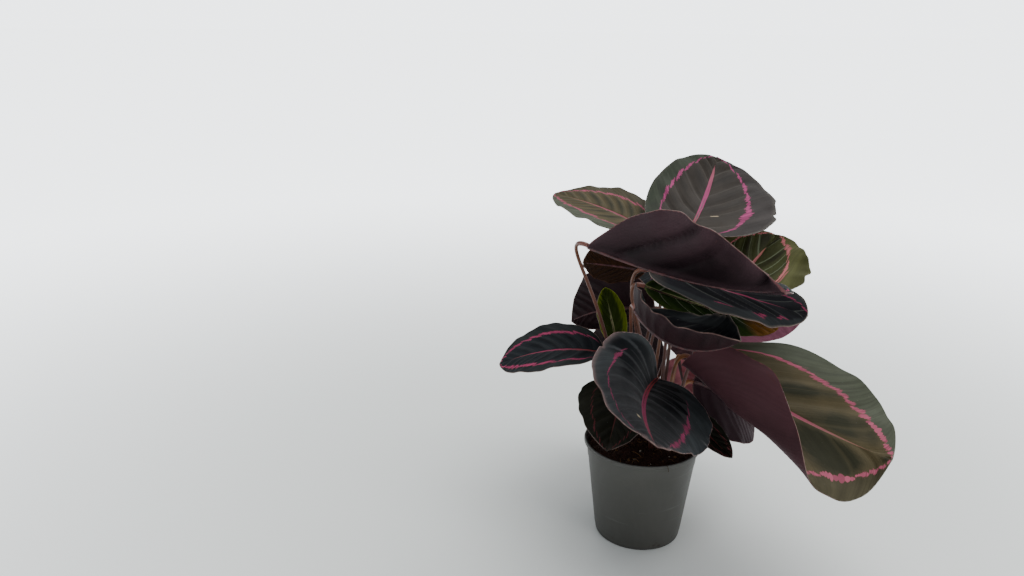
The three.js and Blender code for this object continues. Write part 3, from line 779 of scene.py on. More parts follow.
def ragged(s, t, draw):
    """How much wider or narrower the outline is here than the smooth one."""
    sides = (t < 0).astype(int)
    bumps = np.sin(2 * np.pi * draw["quick"][sides] * 0.8 * s + draw["start"][sides] * 2)
    scallops = np.abs(np.sin(np.pi * draw["slow"][sides] * 1.5 * s + draw["later"][sides]))
    wide = 1 + draw["nibble"][sides] * (0.7 * bumps + 1.6 * scallops) * np.abs(t) ** 4
    for side, at, half, depth in draw["bites"]:
        wide -= depth * np.exp(-(((s - at) / half) ** 2)) * (t * side > 0) * np.abs(t) ** 6
    return wide


def leaf_draw(letter):
    """The leaf's own random numbers, the same in every run."""
    chance = np.random.default_rng(FIRST_SEED + ord(letter))
    usual = VEINS.get(letter, USUAL_VEINS)
    run = VEIN_RUNS.get(letter, dict(USUAL_RUN, bands=usual))
    return dict(
        slow=chance.uniform(2.2, 3.8, 2),
        quick=chance.uniform(6.0, 8.5, 2),
        start=chance.uniform(0, 6.28, 2),
        later=chance.uniform(0, 6.28, 2),
        nibble=NIBBLE * np.array(RAGGEDNESS.get(letter, USUAL_RAGGEDNESS)),
        bands=run["bands"],
        sweep=run["sweep"],
        phase=np.array(run["phase"]),
        wander=np.array(run["wander"]),
        strands=usual / run["bands"],
        quilt=QUILT_DEPTH * QUILTING.get(letter, 1.0),
        fold=FOLDS.get(letter, USUAL_FOLD),
        frill=FRILLS.get(letter, 1.0),
        bites=BITES.get(letter, []),
    )


print("side veins to each half:", min(VEINS.values()), "to", max(VEINS.values()))

# %% [markdown]
# ## Laying a sheet
# Blender's grid is a flat sheet of small squares. Added two metres wide, its corners lie at
# minus one and one, so each vertex tells by its own place which part of the sheet it is.
# That makes it the start for every soft form here: a rule moves the vertices to where they
# belong, edges that meet are merged, and a modifier gives the sheet its thickness.

# %% Helpers for laying sheets
SEWN_WITHIN = 0.00001


def alone(piece):
    bpy.ops.object.select_all(action="DESELECT")
    piece.select_set(True)
    bpy.context.view_layer.objects.active = piece


def sheet(name, rows, columns):
    """A flat sheet, with its vertices' two measures: u from 0 to 1 and v from -1 to 1."""
    grid = bpy.ops.mesh.primitive_grid_add
    piece = add_alone(grid, name, x_subdivisions=rows, y_subdivisions=columns, size=2)
    piece.data.name = name
    flat = np.zeros(len(piece.data.vertices) * 3)
    piece.data.vertices.foreach_get("co", flat)
    flat = flat.reshape(-1, 3)
    return piece, (flat[:, 0] + 1) / 2, flat[:, 1]


def lay(piece, points):
    piece.data.vertices.foreach_set("co", (points * MM).ravel())
    piece.data.update()


def write_uv(piece, name, across, up):
    mesh = piece.data
    corner = np.zeros(len(mesh.loops), int)
    mesh.loops.foreach_get("vertex_index", corner)
    layer = mesh.uv_layers[0]
    layer.name = name
    layer.data.foreach_set("uv", np.stack([across[corner], up[corner]], -1).ravel())


def write_measure(piece, name, values):
    kind = "FLOAT" if values.ndim == 1 else "FLOAT_VECTOR"
    layer = piece.data.attributes.new(name, kind, "POINT")
    key = "value" if kind == "FLOAT" else "vector"
    layer.data.foreach_set(key, np.ascontiguousarray(values, np.float32).ravel())


def edit(piece, operator, **settings):
    """Runs one edit-mode operator on the whole piece."""
    alone(piece)
    bpy.ops.object.mode_set(mode="EDIT")
    bpy.ops.mesh.select_all(action="SELECT")
    operator(**settings)
    bpy.ops.object.mode_set(mode="OBJECT")


def sew(piece):
    """Merges the vertices that lie on one another: closes tubes, and draws ends to a point."""
    edit(piece, bpy.ops.mesh.remove_doubles, threshold=SEWN_WITHIN)


def modify(piece, kind, **settings):
    alone(piece)
    bpy.ops.object.modifier_add(type=kind)
    modifier = piece.modifiers[-1]
    for key, value in settings.items():
        setattr(modifier, key, value)
    bpy.ops.object.modifier_apply(modifier=modifier.name)


def tube(name, centres, radii, sides, start_side=(1, 0, 0)):
    """A round rod through the centres, in millimetres, drawn to a point at both ends."""
    centres = np.vstack([centres[:1], centres, centres[-1:]])
    radii = np.concatenate([[0.0], radii, [0.0]])
    heading = np.gradient(centres, axis=0)
    heading[0] = heading[1]
    heading[-1] = heading[-2]
    heading /= np.linalg.norm(heading, axis=1)[:, None]
    side = np.array(start_side, float)
    sides_at = []
    for direction in heading:
        side = side - direction * (side @ direction)
        side /= np.linalg.norm(side)
        sides_at.append(side)
    sides_at = np.array(sides_at)
    others = np.cross(heading, sides_at)
    piece, u, v = sheet(name, len(centres) - 1, sides)
    ring = np.rint(u * (len(centres) - 1)).astype(int)
    angle = np.pi * v
    points = centres[ring] + radii[ring, None] * (
        sides_at[ring] * np.cos(angle)[:, None] + others[ring] * np.sin(angle)[:, None]
    )
    lay(piece, points)
    write_uv(piece, "blade", u, (v + 1) / 2)
    return piece


def smooth(piece, degrees):
    alone(piece)
    bpy.ops.object.shade_smooth_by_angle(angle=math.radians(degrees))


def join(pieces):
    bpy.ops.object.select_all(action="DESELECT")
    for piece in pieces:
        piece.select_set(True)
    bpy.context.view_layer.objects.active = pieces[0]
    bpy.ops.object.join()
    return bpy.context.object


def seat(piece, slot, *nodes):
    """The piece moves with the pot, and stands for the solids named."""
    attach(piece, "root")
    if nodes:
        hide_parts(*nodes)


print("sheet helpers are ready")

# %% [markdown]
# ## The blades
# Each blade is one sheet laid to the rule, with closer rows near its base and tip, where
# the outline turns fastest, and closer columns near the midrib, where the groove is. While
# its two measures are at hand, the distances that the finish needs are stored on it. The
# tables say where a leaf differs: how wide its ring, midrib and bands are from base to tip,
# where it is scarred, and which patches are washed pale, gloomy or withered. The pale
# washes are the leaf's own pale margin and tip on a and b, and painted sheen on e and g:
# along e's margins, and at g's base and lower margin. A patch is its half, its stretch from
# base to tip, where it starts towards the margin, and its strength. Then Solidify gives the
# sheet a leaf's thickness, with another finish below and a third on the edge. The rib below
# is a slim tube sunk into it.

# %% Make the blades
ROWS = 116
COLUMNS = 50
THICKNESS = 0.65
OWN_STEP = 3.7
RING_AT = {"a": (0.62, 0.70), "c": (0.66, 0.62), "e": (0.66, 0.60), "f": (0.62, 0.60)}
USUAL_RING = (0.64, 0.64)
RING_TOWARDS_TIP = 0.06
NO_RING = ([(0, 0), (1, 0)], [(0, 0), (1, 0)])
RING_WIDTHS = {
    "a": (
        [(0.15, 0), (0.2, 0.15), (0.36, 0.5), (0.48, 1.6), (0.58, 0.8), (0.66, 1.7), (0.74, 0.7),
         (0.8, 1.9), (0.87, 0.9), (0.92, 0)],
        [(0.24, 0), (0.3, 0.6), (0.37, 0.95), (0.44, 0.4), (0.6, 0.33), (0.75, 0.3), (0.9, 0.2), (1, 0)],
    ),
    "b": ([(0, 0.2), (1, 0.35)], [(0, 0.2), (1, 0.35)]),
    "c": (
        [(0, 0.3), (0.2, 1.1), (0.35, 1.2), (0.5, 1.3), (0.8, 0.9), (0.93, 0.6), (1, 0.5)],
        [(0, 0.5), (0.4, 1.0), (0.6, 1.3), (0.8, 1.1), (0.93, 0.7), (1, 0.5)],
    ),
    "e": (
        [(0, 0.5), (0.2, 0.9), (0.45, 1.0), (0.7, 0.7), (0.9, 0.35), (1, 0.3)],
        [(0, 0.5), (0.15, 0.9), (0.35, 1.6), (0.55, 1.3), (0.75, 0.7), (0.95, 0.5), (1, 0.4)],
    ),
    "f": (
        [(0, 0.3), (0.4, 0.5), (0.7, 0.6), (1, 0.4)],
        [(0, 0.4), (0.4, 1.2), (0.55, 0.2), (0.75, 1.4), (1, 0.5)],
    ),
    "g": (
        [(0.6, 0), (0.75, 0.5), (1, 0.5)],
        [(0.36, 0), (0.4, 0.6), (0.46, 0.3), (0.5, 0), (0.6, 0), (0.63, 1.0), (0.68, 1.0), (0.7, 0),
         (0.76, 0), (0.79, 1.1), (0.83, 0.9), (0.86, 0)],
    ),
    # Leaf h shows no ring, because its upper face is painted in shade.
    "h": NO_RING, "j": ([(0, 0), (1, 0.4)], [(0, 0), (1, 0.4)]), "q": NO_RING, "r": NO_RING,
}
MIDRIB_STRIPES = {
    "a": [(0, 2.2), (0.3, 3.0), (0.6, 2.6), (0.8, 1.8), (0.95, 0)],
    "c": [(0, 1.5), (0.2, 2.6), (0.45, 2.3), (0.7, 1.3), (0.93, 0)],
    "e": [(0, 1.4), (0.3, 2.0), (0.6, 2.5), (0.8, 1.9), (0.93, 0)],
    "f": [(0, 1.0), (0.5, 1.8), (0.7, 1.0), (0.8, 0)],
    "g": [(0, 0.4), (0.3, 0.8), (0.6, 1.6), (0.9, 0)],
}
USUAL_STRIPE = [(0, 1.6), (0.4, 1.5), (0.92, 0)]
USUAL_WIDTH = ([(0, 0.2), (0.2, 0.8), (0.8, 1.0), (1, 0.4)], [(0, 0.2), (0.3, 1.0), (0.8, 0.7), (1, 0.4)])
BANDING = {
    "a": [(0, 1.7), (0.34, 1.3), (0.46, 0.5), (0.6, 0.35), (1, 0.3)],
    "c": [(0, 1.5), (1, 1.5)],
    "e": [(0, 0.9), (1, 1.2)],
}
RIB_RADIUS = 1.75
RIB_STOPS = 0.95
SCARS = {
    "e": [(0.313, -0.273, 5.0, 1.3)],
    "a": [(0.70, -0.16, 3.2, 0.9), (0.367, 0.458, 1.2, 0.5), (0.80, -0.9, 1.6, 0.5)],
    "c": [(0.459, 0.251, 1.7, 0.45), (0.517, 0.31, 0.8, 0.45), (0.633, -0.133, 1.1, 0.4)],
}
# Pale washes: on a and b the leaf's own pale margin and tip; on e and g a painted sheen, along e's margins
# and at g's base and lower margin.
PALE_WASHES_AND_SHEENS = {
    "a": [(-1, 0.2, 1.1, 0.93, 0.55), (1, 0.88, 1.1, 0.7, 0.55), (-1, 0.9, 1.1, 0.3, 0.85),
          (1, 0.95, 1.2, -0.3, 0.7)],
    "b": [(1, 0.9, 1.2, -0.5, 0.6)],
    "g": [(1, -1, 0.12, -2, 0.15), (-1, -1, 0.12, -2, 0.15), (-1, 0.05, 1.0, 0.94, 0.6),
          (1, 0.8, 1.1, 0.92, 0.5)],
    "h": [(1, -1, 1.1, 0.94, 0.7), (-1, -1, 1.1, 0.94, 0.7)],
    "e": [(-1, -1, 1.1, 0.96, 0.5), (1, -1, 1.1, 0.97, 0.3)],
}
GLOOMS = {"a": [(-1, -1, 0.40, 0.02, 1.0), (1, -1, 0.14, 0.02, 0.6)], "c": [(1, -1, 0.2, 0.05, 0.45)]}
WITHERS = {"q": [(1, 0.72, 1.1, -0.6, 1.0), (-1, 0.72, 1.1, -0.6, 1.0)]}


def flat_outline(leaf, draw):
    s = (1 - np.cos(np.linspace(0, np.pi, 160))) / 2
    q = along_midrib(leaf, s, 1.0)
    outline = []
    for t in (1.0, -1.0):
        side = np.full_like(s, t)
        wide = half_width(leaf, s) * share_of(leaf, t) * ragged(s, side, draw)
        outline.append(np.stack([q * leaf["length"], t * wide], -1))
    return np.vstack(outline)


def nearest(points, outline):
    found = np.full(len(points), 1e9)
    for spot in outline:
        found = np.minimum(found, np.hypot(points[:, 0] - spot[0], points[:, 1] - spot[1]))
    return found


def patches(listed, s, t):
    """How strongly each point is washed over: by side, from s to s, and out from t."""
    wash = np.zeros_like(s)
    for side, start, stop, out_from, strength in listed:
        here = np.clip((s - start) / 0.08, 0, 1) * np.clip((stop - s) / 0.08, 0, 1)
        outer = np.clip((t * side - out_from) / 0.07, 0, 1)
        wash = np.maximum(wash, strength * here * outer)
    return wash


def follow(listed, s):
    """The value at s of a line through the listed points."""
    return np.interp(s, *np.array(listed, float).T)


def pink_width(letter, s, t):
    left, right = RING_WIDTHS.get(letter, USUAL_WIDTH)
    return np.where(t >= 0, follow(left, s), follow(right, s))


def store_measures(piece, leaf, draw, letter, s, t, swell):
    out = np.abs(t)
    wide = half_width(leaf, s) * share_of(leaf, t) * swell
    q = along_midrib(leaf, s, out)
    flat = np.stack([q * leaf["length"], t * wide], -1)
    write_measure(piece, "rib", out * wide)
    ring_at = np.where(t >= 0, *RING_AT.get(letter, USUAL_RING)) + RING_TOWARDS_TIP * s
    write_measure(piece, "ring", (out - ring_at) * wide)
    write_measure(piece, "pink", pink_width(letter, s, t))
    write_measure(piece, "stripe", follow(MIDRIB_STRIPES.get(letter, USUAL_STRIPE), q))
    write_measure(piece, "edge", nearest(flat, flat_outline(leaf, draw)))
    scar = np.zeros_like(s)
    for at, to_side, length, width in SCARS.get(letter, []):
        middle = np.array([at * leaf["length"], to_side * half_width(leaf, np.array([at]))[0]])
        off = flat - middle
        scar = np.maximum(scar, 1 - np.hypot(off[:, 0] / width, off[:, 1] / length))
    write_measure(piece, "scar", np.clip(scar * 3, 0, 1))
    veins = vein_number(leaf, s, t, draw)
    write_measure(piece, "vein", veins)
    write_measure(piece, "strand", veins * draw["strands"])
    write_measure(piece, "banding", follow(BANDING.get(letter, [(0, 1), (1, 1)]), s))
    for name, listed in (("wash", PALE_WASHES_AND_SHEENS), ("gloom", GLOOMS), ("wither", WITHERS)):
        write_measure(piece, name, patches(listed.get(letter, []), s, t))
    own = np.full_like(s, OWN_STEP * (1 + list(LEAVES).index(letter)))
    write_measure(piece, "flat", np.stack([flat[:, 0] / 100, flat[:, 1] / 100, own], -1))


def make_rib(letter, leaf, line):
    s = np.linspace(0, RIB_STOPS, 48)
    radii = RIB_RADIUS * (1 - s) ** 0.8 + 0.15
    lift = -(THICKNESS / 2 + 0.35 * radii) - GROOVE_DEPTH * (1 - s) ** 0.5
    centres = blade_points(leaf, line, s, np.zeros_like(s), lift)
    rib = tube(f"rib_{letter}", centres, radii, 8, line["left"][0])
    sew(rib)
    rib.data.materials.append(rib_below)
    return rib


def make_blade(letter, leaf):
    draw = leaf_draw(letter)
    line = midrib(leaf)
    piece, u, v = sheet(f"blade_{letter}", ROWS, COLUMNS)
    s = (1 - np.cos(np.pi * u)) / 2
    t = v * (0.45 + 0.55 * np.abs(v) ** 1.2)
    swell = ragged(s, t, draw)
    lay(piece, blade_points(leaf, line, s, t, relief(leaf, s, t, draw), swell))
    write_uv(piece, "blade", s, (t + 1) / 2)
    store_measures(piece, leaf, draw, letter, s, t, swell)
    sew(piece)
    top, below = FINISHES[letter]
    for material in (upper_faces[top], undersides[below], cut_edge):
        piece.data.materials.append(material)
    modify(piece, "SOLIDIFY", thickness=THICKNESS * MM, offset=0, material_offset=1, material_offset_rim=2)
    piece = join([piece, make_rib(letter, leaf, line)])
    smooth(piece, 50)
    seat(piece, "leaf", f"leaf_{letter}")
    return piece


blades = [make_blade(letter, leaf) for letter, leaf in LEAVES.items()]
print(len(blades), "blades,", sum(len(b.data.polygons) for b in blades), "faces")

# %% [markdown]
# ## The stalks
# A stalk rises out of the peat inside a sheath, runs up thin and round, and ends in a
# thicker knee that turns the blade to the light. A curve with a bevel would give the
# line, but not the swellings. A tube whose radius follows the stalk gives both.

# %% Finish of the stalks
def stalk_finish():
    material, tree, shader = new_finish("stalk_skin", 0.4, 0.4)
    along, around = blade_uv(tree)
    place = place_on(tree)
    streak_at = trio(tree, times(tree, along, 5.0), times(tree, around, 16.0), 0.0)
    streaks = speckle(tree, streak_at, 1.5, 3.0)
    low = tint(tree, streaks, (0.045, 0.011, 0.012), (0.11, 0.036, 0.018))
    high = tint(tree, streaks, (0.055, 0.016, 0.012), (0.12, 0.046, 0.018))
    colour = tint(tree, step_up(tree, along, 0.3, 0.75), low, high)
    ripe = tint(tree, streaks, (0.20, 0.06, 0.02), (0.34, 0.15, 0.04))
    colour = tint(tree, measure(tree, "ripe"), colour, ripe)
    mottle = step_up(tree, speckle(tree, place, 70.0, 4.0), 0.5, 0.75)
    colour = tint(tree, times(tree, mottle, 0.5), colour, (0.05, 0.018, 0.018))
    knee = step_up(tree, along, 0.86, 0.93)
    colour = tint(tree, times(tree, knee, 0.5), colour, (0.13, 0.035, 0.028))
    dress(tree, shader, colour, streaks, 0.00025, times(tree, streaks, 0.25, 0.28))
    return material


stalk_skin = stalk_finish()
print("stalk finish:", stalk_skin.name)

# %% Make the stalks
SOIL_TOP = 98
STALK_SUNK = 20
SEAT_GAP = 0.3
STALK_RINGS = 72
STALK_SIDES = 14
SHEATH_RADIUS = 2.75
STALK_RADIUS = 1.75
KNEE_RADIUS = 2.25
KNEE_LENGTH = 17
RIPE_STALKS = dict(c=0.5, i=0.9, t=0.6, l=0.3)


def cubic(a, b, c, d, n):
    k = np.linspace(0, 1, n)[:, None]
    return a * (1 - k) ** 3 + 3 * b * k * (1 - k) ** 2 + 3 * c * k * k * (1 - k) + d * k**3


def stalk_line(leaf):
    line = midrib(leaf)
    end = line["place"][0] - line["along"][0] * SEAT_GAP
    rise = end[2] - SOIL_TOP
    ground = np.array([*leaf["root"], SOIL_TOP], float)
    foot = ground - [0, 0, STALK_SUNK]
    upwards = ground + [0, 0, 0.6 * rise]
    back = end - line["along"][0] * (6 + 0.18 * rise)
    rising = cubic(ground, upwards, back, end, STALK_RINGS)
    return np.vstack([foot[None], rising]), rise


def make_stalk(letter, leaf):
    centres, rise = stalk_line(leaf)
    steps = np.linalg.norm(np.diff(centres, axis=0), axis=1)
    walked = np.concatenate([[0], np.cumsum(steps)])
    above = walked - STALK_SUNK
    total = above[-1]
    sheath = 1 / (1 + np.exp((above - 0.3 * total) / (0.035 * total)))
    knee = np.exp(-(((above - total + KNEE_LENGTH * 0.45) / (KNEE_LENGTH * 0.5)) ** 4))
    radii = STALK_RADIUS + (SHEATH_RADIUS - STALK_RADIUS) * sheath
    radii = radii + (KNEE_RADIUS - STALK_RADIUS) * knee
    radii = radii + 0.25 * np.clip(1 - above / 30, 0, 1)
    piece = tube(f"stem_{letter}", centres, radii, STALK_SIDES)
    write_measure(piece, "ripe", np.full(len(piece.data.vertices), RIPE_STALKS.get(letter, 0.0)))
    sew(piece)
    piece.data.materials.append(stalk_skin)
    smooth(piece, 60)
    seat(piece, "stalk", f"stalk_{letter}")
    return piece


stems = [make_stalk(letter, leaf) for letter, leaf in LEAVES.items()]
print(len(stems), "stalks, the longest rises", round(max(stalk_line(v)[1] for v in LEAVES.values())), "mm")

# %% [markdown]
# ## The pot
# A nursery pot is blown or moulded from thin dark plastic: a plain cone with a rolled lip,
# a step where the lip begins and holes in the floor. It could be spun from a profile, but
# it is quicker to raise it as a potter does. A disc is extruded up ring by ring, scaled at
# each height, over the lip and back down inside. Cylinders then cut the holes.

# %% Finish of the pot
def pot_finish():
    material, tree, shader = new_finish("pot_matt_plastic", 0.55, 0.4)
    place = place_on(tree)
    x, y, height = parts_of(tree, place)
    cloud = speckle(tree, place, 22.0, 4.0)
    colour = tint(tree, cloud, (0.041, 0.041, 0.036), (0.064, 0.063, 0.056))
    # Pale streaks that run round the pot; they also roughen its skin.
    stretched = trio(tree, times(tree, x, 9.0), times(tree, y, 9.0), times(tree, height, 260.0))
    pale_streaks = step_up(tree, speckle(tree, stretched, 2.0, 4.0), 0.62, 0.78)
    colour = tint(tree, times(tree, pale_streaks, 0.3), colour, (0.15, 0.16, 0.15))
    dusty = step_up(tree, speckle(tree, place, 130.0, 5.0, 0.7), 0.56, 0.72)
    near_lip = step_up(tree, height, 0.085, 0.105)
    near_foot = step_down(tree, height, 0.002, 0.02)
    grime = times(tree, dusty, reckon(tree, "MAXIMUM", near_lip, near_foot))
    colour = tint(tree, times(tree, grime, 0.55), colour, (0.035, 0.022, 0.015))
    dull = times(tree, grime, 0.25, times(tree, cloud, 0.2, 0.42))
    skin = times(tree, speckle(tree, place, 1400.0, 2.0), 0.6, pale_streaks)
    dress(tree, shader, colour, skin, 0.00008, dull)
    return material


pot_plastic = pot_finish()
print("pot finish:", pot_plastic.name)

# %% Make the pot
POT_SIDES = 128
POT_WALL = 1.3
POT_FLOOR = 1.6
DRAIN_COUNT = 8
DRAIN_RADIUS = 4
DRAIN_CIRCLE = 34
pot_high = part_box("pot")[1]
RIM_RADIUS = pot_high.x / MM
POT_HEIGHT = pot_high.z / MM
BASE_RADIUS = 44.5
SHOULDER_RADIUS = 57.2
LIP = 4.5
shoulder = POT_HEIGHT - LIP
RINGS_UP = [
    (BASE_RADIUS - 0.4, 0), (BASE_RADIUS, 1.2), (BASE_RADIUS + 0.7, 6), (BASE_RADIUS + 1.05, 6.8),
    (SHOULDER_RADIUS - 1.9, shoulder - 15), (SHOULDER_RADIUS - 1.35, shoulder - 13.8),
    (SHOULDER_RADIUS, shoulder - 0.3), (SHOULDER_RADIUS + 0.5, shoulder), (RIM_RADIUS - 0.5, shoulder + 0.2),
    (RIM_RADIUS, shoulder + 1.1), (RIM_RADIUS, POT_HEIGHT - 1.4), (RIM_RADIUS - 0.55, POT_HEIGHT - 0.3),
    (RIM_RADIUS - 1.4, POT_HEIGHT), (RIM_RADIUS - 2.3, POT_HEIGHT - 0.5),
    (SHOULDER_RADIUS - POT_WALL, shoulder - 1), (BASE_RADIUS - POT_WALL + 0.3, POT_FLOOR + 0.8),
    (BASE_RADIUS - POT_WALL - 0.6, POT_FLOOR),
]


def make_pot():
    radius, height = RINGS_UP[0]
    disc = bpy.ops.mesh.primitive_circle_add
    pot = add_alone(disc, "nursery_pot", vertices=POT_SIDES, radius=radius * MM, fill_type="NGON")
    bpy.ops.object.mode_set(mode="EDIT")
    bpy.ops.mesh.select_all(action="SELECT")
    bpy.ops.mesh.extrude_region_move()
    for next_radius, next_height in RINGS_UP[1:]:
        bpy.ops.transform.translate(value=(0, 0, (next_height - height) * MM))
        grow = next_radius / radius
        middle = (0, 0, next_height * MM)
        bpy.ops.transform.resize(value=(grow, grow, 1), center_override=middle)
        radius, height = next_radius, next_height
        if (radius, height) != RINGS_UP[-1]:
            bpy.ops.mesh.extrude_region_move()
    bpy.ops.object.mode_set(mode="OBJECT")
    edit(pot, bpy.ops.mesh.normals_make_consistent, inside=False)
    return pot


def drill(pot):
    cutters = []
    for i in range(DRAIN_COUNT):
        angle = (i + 0.5) * 2 * math.pi / DRAIN_COUNT
        spot = Vector((DRAIN_CIRCLE * math.cos(angle), DRAIN_CIRCLE * math.sin(angle), POT_FLOOR / 2))
        bpy.ops.mesh.primitive_cylinder_add(
            vertices=28, radius=DRAIN_RADIUS * MM, depth=3 * POT_FLOOR * MM, location=spot * MM,
        )
        cutters.append(bpy.context.object)
    cutter = join(cutters)
    modify(pot, "BOOLEAN", object=cutter, operation="DIFFERENCE", solver="EXACT")
    bpy.data.objects.remove(cutter)


pot = make_pot()
drill(pot)
pot.data.materials.append(pot_plastic)
smooth(pot, 35)
seat(pot, "pot_plastic", "pot")
print("pot:", round(2 * RIM_RADIUS), "mm across the rim,", len(pot.data.polygons), "faces")

# %% [markdown]
# ## The peat
# Potting peat is a dark red-brown felt of crumbs and fibres with a few pale grains. A noise
# texture alone stays flat where the stalks come up through it. So the surface is a turned
# sheet lifted by noise, and real crumbs and threads lie on it. Each kind of crumb is
# modelled once and copied, with the copy's size and turn put into its own mesh.

# %% Finish of the peat
def peat_finish():
    material, tree, shader = new_finish("peat_crumb", 0.9, 0.2)
    place = place_on(tree)
    tone = measure(tree, "tone")
    grains = speckle(tree, place, 420.0, 5.0, 0.7)
    colour = tint(tree, grains, (0.010, 0.004, 0.003), (0.062, 0.026, 0.015))
    reddish = step_up(tree, speckle(tree, place, 90.0, 3.0), 0.5, 0.7)
    colour = tint(tree, times(tree, reddish, 0.6), colour, (0.055, 0.018, 0.010))
    ochre = step_up(tree, tone, 0.45, 0.7)
    colour = tint(tree, ochre, colour, shade(tree, (0.20, 0.105, 0.040), plus(tree, grains, 0.4)))
    chalk = step_up(tree, tone, 0.86, 0.94)
    colour = tint(tree, chalk, colour, shade(tree, (0.52, 0.47, 0.38), plus(tree, grains, 0.4)))
    dress(tree, shader, colour, grains, 0.0012, times(tree, grains, 0.2, 0.75))
    return material


peat_crumb = peat_finish()
print("peat finish:", peat_crumb.name)

# %% Make the peat
SOIL_GAP = 0.35
SOIL_RIPPLE = 1.1
PEAT_RINGS = 96
PEAT_SIDES = 168
DOME_RADII = (0, 12, 24, 36, 47, 55)
DOME_HEIGHTS = (0.9, 0.6, 1.0, 0.4, 0, -1.0)
inner_low = BASE_RADIUS - POT_WALL
inner_high = SHOULDER_RADIUS - POT_WALL
peat_floor = POT_FLOOR + SOIL_GAP


def inside_radius(z):
    return inner_low + (inner_high - inner_low) * (z - POT_FLOOR) / (shoulder - POT_FLOOR)


def soil_height(x, y):
    """The peat's smooth top in millimetres, as the solid has it."""
    ripple = np.sin(0.19 * x + 1.3) * np.cos(0.23 * y - 0.4) + 0.5 * np.sin(0.41 * x - 0.35 * y)
    return SOIL_TOP + np.interp(np.hypot(x, y), DOME_RADII, DOME_HEIGHTS) + SOIL_RIPPLE * ripple


def lumps(x, y):
    spots = [Vector((a, b, 0)) for a, b in zip(x, y)]
    coarse, middle, fine = (np.array([noise.noise(p * size) for p in spots]) for size in (0.14, 0.42, 1.1))
    return 1.1 * coarse + 0.9 * middle + 0.45 * fine


def make_peat():
    piece, u, v = sheet("peat", PEAT_RINGS, PEAT_SIDES)
    top_radius = inside_radius(SOIL_TOP - 1) - SOIL_GAP
    rim, foot = 0.92, 0.97
    radius = np.interp(u, (0, rim, foot, 1), (0, top_radius, inside_radius(peat_floor) - SOIL_GAP, 0))
    x = radius * np.cos(np.pi * v)
    y = radius * np.sin(np.pi * v)
    inner = np.clip((top_radius - radius) / 3, 0, 1)
    top = soil_height(x, y) + lumps(x, y) * inner
    down = np.clip((u - rim) / (foot - rim), 0, 1)
    z = top + (peat_floor - top) * down
    lay(piece, np.stack([x, y, z], -1))
    write_measure(piece, "tone", np.zeros_like(u))
    sew(piece)
    piece.data.materials.append(peat_crumb)
    smooth(piece, 70)
    seat(piece, "peat", "soil")
    return piece


peat = make_peat()
print("peat:", len(peat.data.polygons), "faces")

# %% Scatter crumbs and threads
CRUMB_COUNT = 520
THREAD_COUNT = 110
CRUMB_REACH = 53.5
CRUMB_KINDS = dict(a=(0, 1.0), b=(5, 1.5), c=(9, 1.2))
OCHRE_FROM = 0.88
PALE_FROM = 0.955
LAID_THREADS = {
    "thread_over_rim": (
        [(13, -47, 99), (15, -52, 102.5), (16, -57.2, 105.6), (16.5, -60.2, 105.4), (17, -61, 103),
         (17.5, -61, 100.5)], 0.3, 0.3,
    ),
    "thread_golden": ([(-13, -18, 99), (-10, -24, 101.5), (-7, -30, 101.8), (-5, -33, 100.2)], 0.4, 0.8),
    "thread_golden_low": ([(-14, -32, 99), (-11.5, -37, 101.2), (-9, -42, 100.4)], 0.34, 0.72),
}
chance = np.random.default_rng(7)


def rough_crumb(name, seed, stretch):
    crumb = add_alone(bpy.ops.mesh.primitive_ico_sphere_add, name, subdivisions=2, radius=MM)
    for vertex in crumb.data.vertices:
        rough = 1 + 0.45 * noise.noise(vertex.co / MM * 1.3 + Vector((seed, 0, 0)))
        vertex.co = Vector((vertex.co.x * stretch, vertex.co.y, vertex.co.z * 0.7)) * rough
    return crumb


def placed_copy(name, source, matrix, tone):
    mesh = source.data.copy()
    mesh.transform(matrix)
    copy = bpy.data.objects.new(name, mesh)
    bpy.context.collection.objects.link(copy)
    write_measure(copy, "tone", np.full(len(mesh.vertices), tone))
    return copy


def spot_on_peat():
    radius = CRUMB_REACH * math.sqrt(chance.uniform(0, 1))
    angle = chance.uniform(0, 2 * math.pi)
    return radius * math.cos(angle), radius * math.sin(angle)


def scatter_crumbs():
    kinds = [rough_crumb(f"crumb_kind_{letter}", *kind) for letter, kind in CRUMB_KINDS.items()]
    crumbs = []
    for i in range(CRUMB_COUNT):
        x, y = spot_on_peat()
        size = 0.45 + 1.5 * chance.uniform(0, 1) ** 3
        draw = chance.uniform(0, 1)
        tone = 1.0 if draw > PALE_FROM else 0.62 if draw > OCHRE_FROM else 0.3 * draw
        z = soil_height(x, y) + lumps([x], [y])[0] + 0.25 * size
        turn = Matrix.Rotation(chance.uniform(0, 6.28), 4, "Z")
        turn = turn @ Matrix.Rotation(chance.uniform(-0.7, 0.7), 4, "X")
        matrix = Matrix.Translation(Vector((x, y, z)) * MM) @ turn @ Matrix.Scale(size, 4)
        crumbs.append(placed_copy(f"crumb_{i}", kinds[i % 3], matrix, tone))
    for kind in kinds:
        bpy.data.objects.remove(kind)
    piece = join(crumbs)
    piece.name = "peat_crumbs"
    return piece


def thread(name, points, radius, tone):
    piece = tube(name, np.array(points, float), np.full(len(points), radius), 5)
    write_measure(piece, "tone", np.full(len(piece.data.vertices), tone))
    return piece


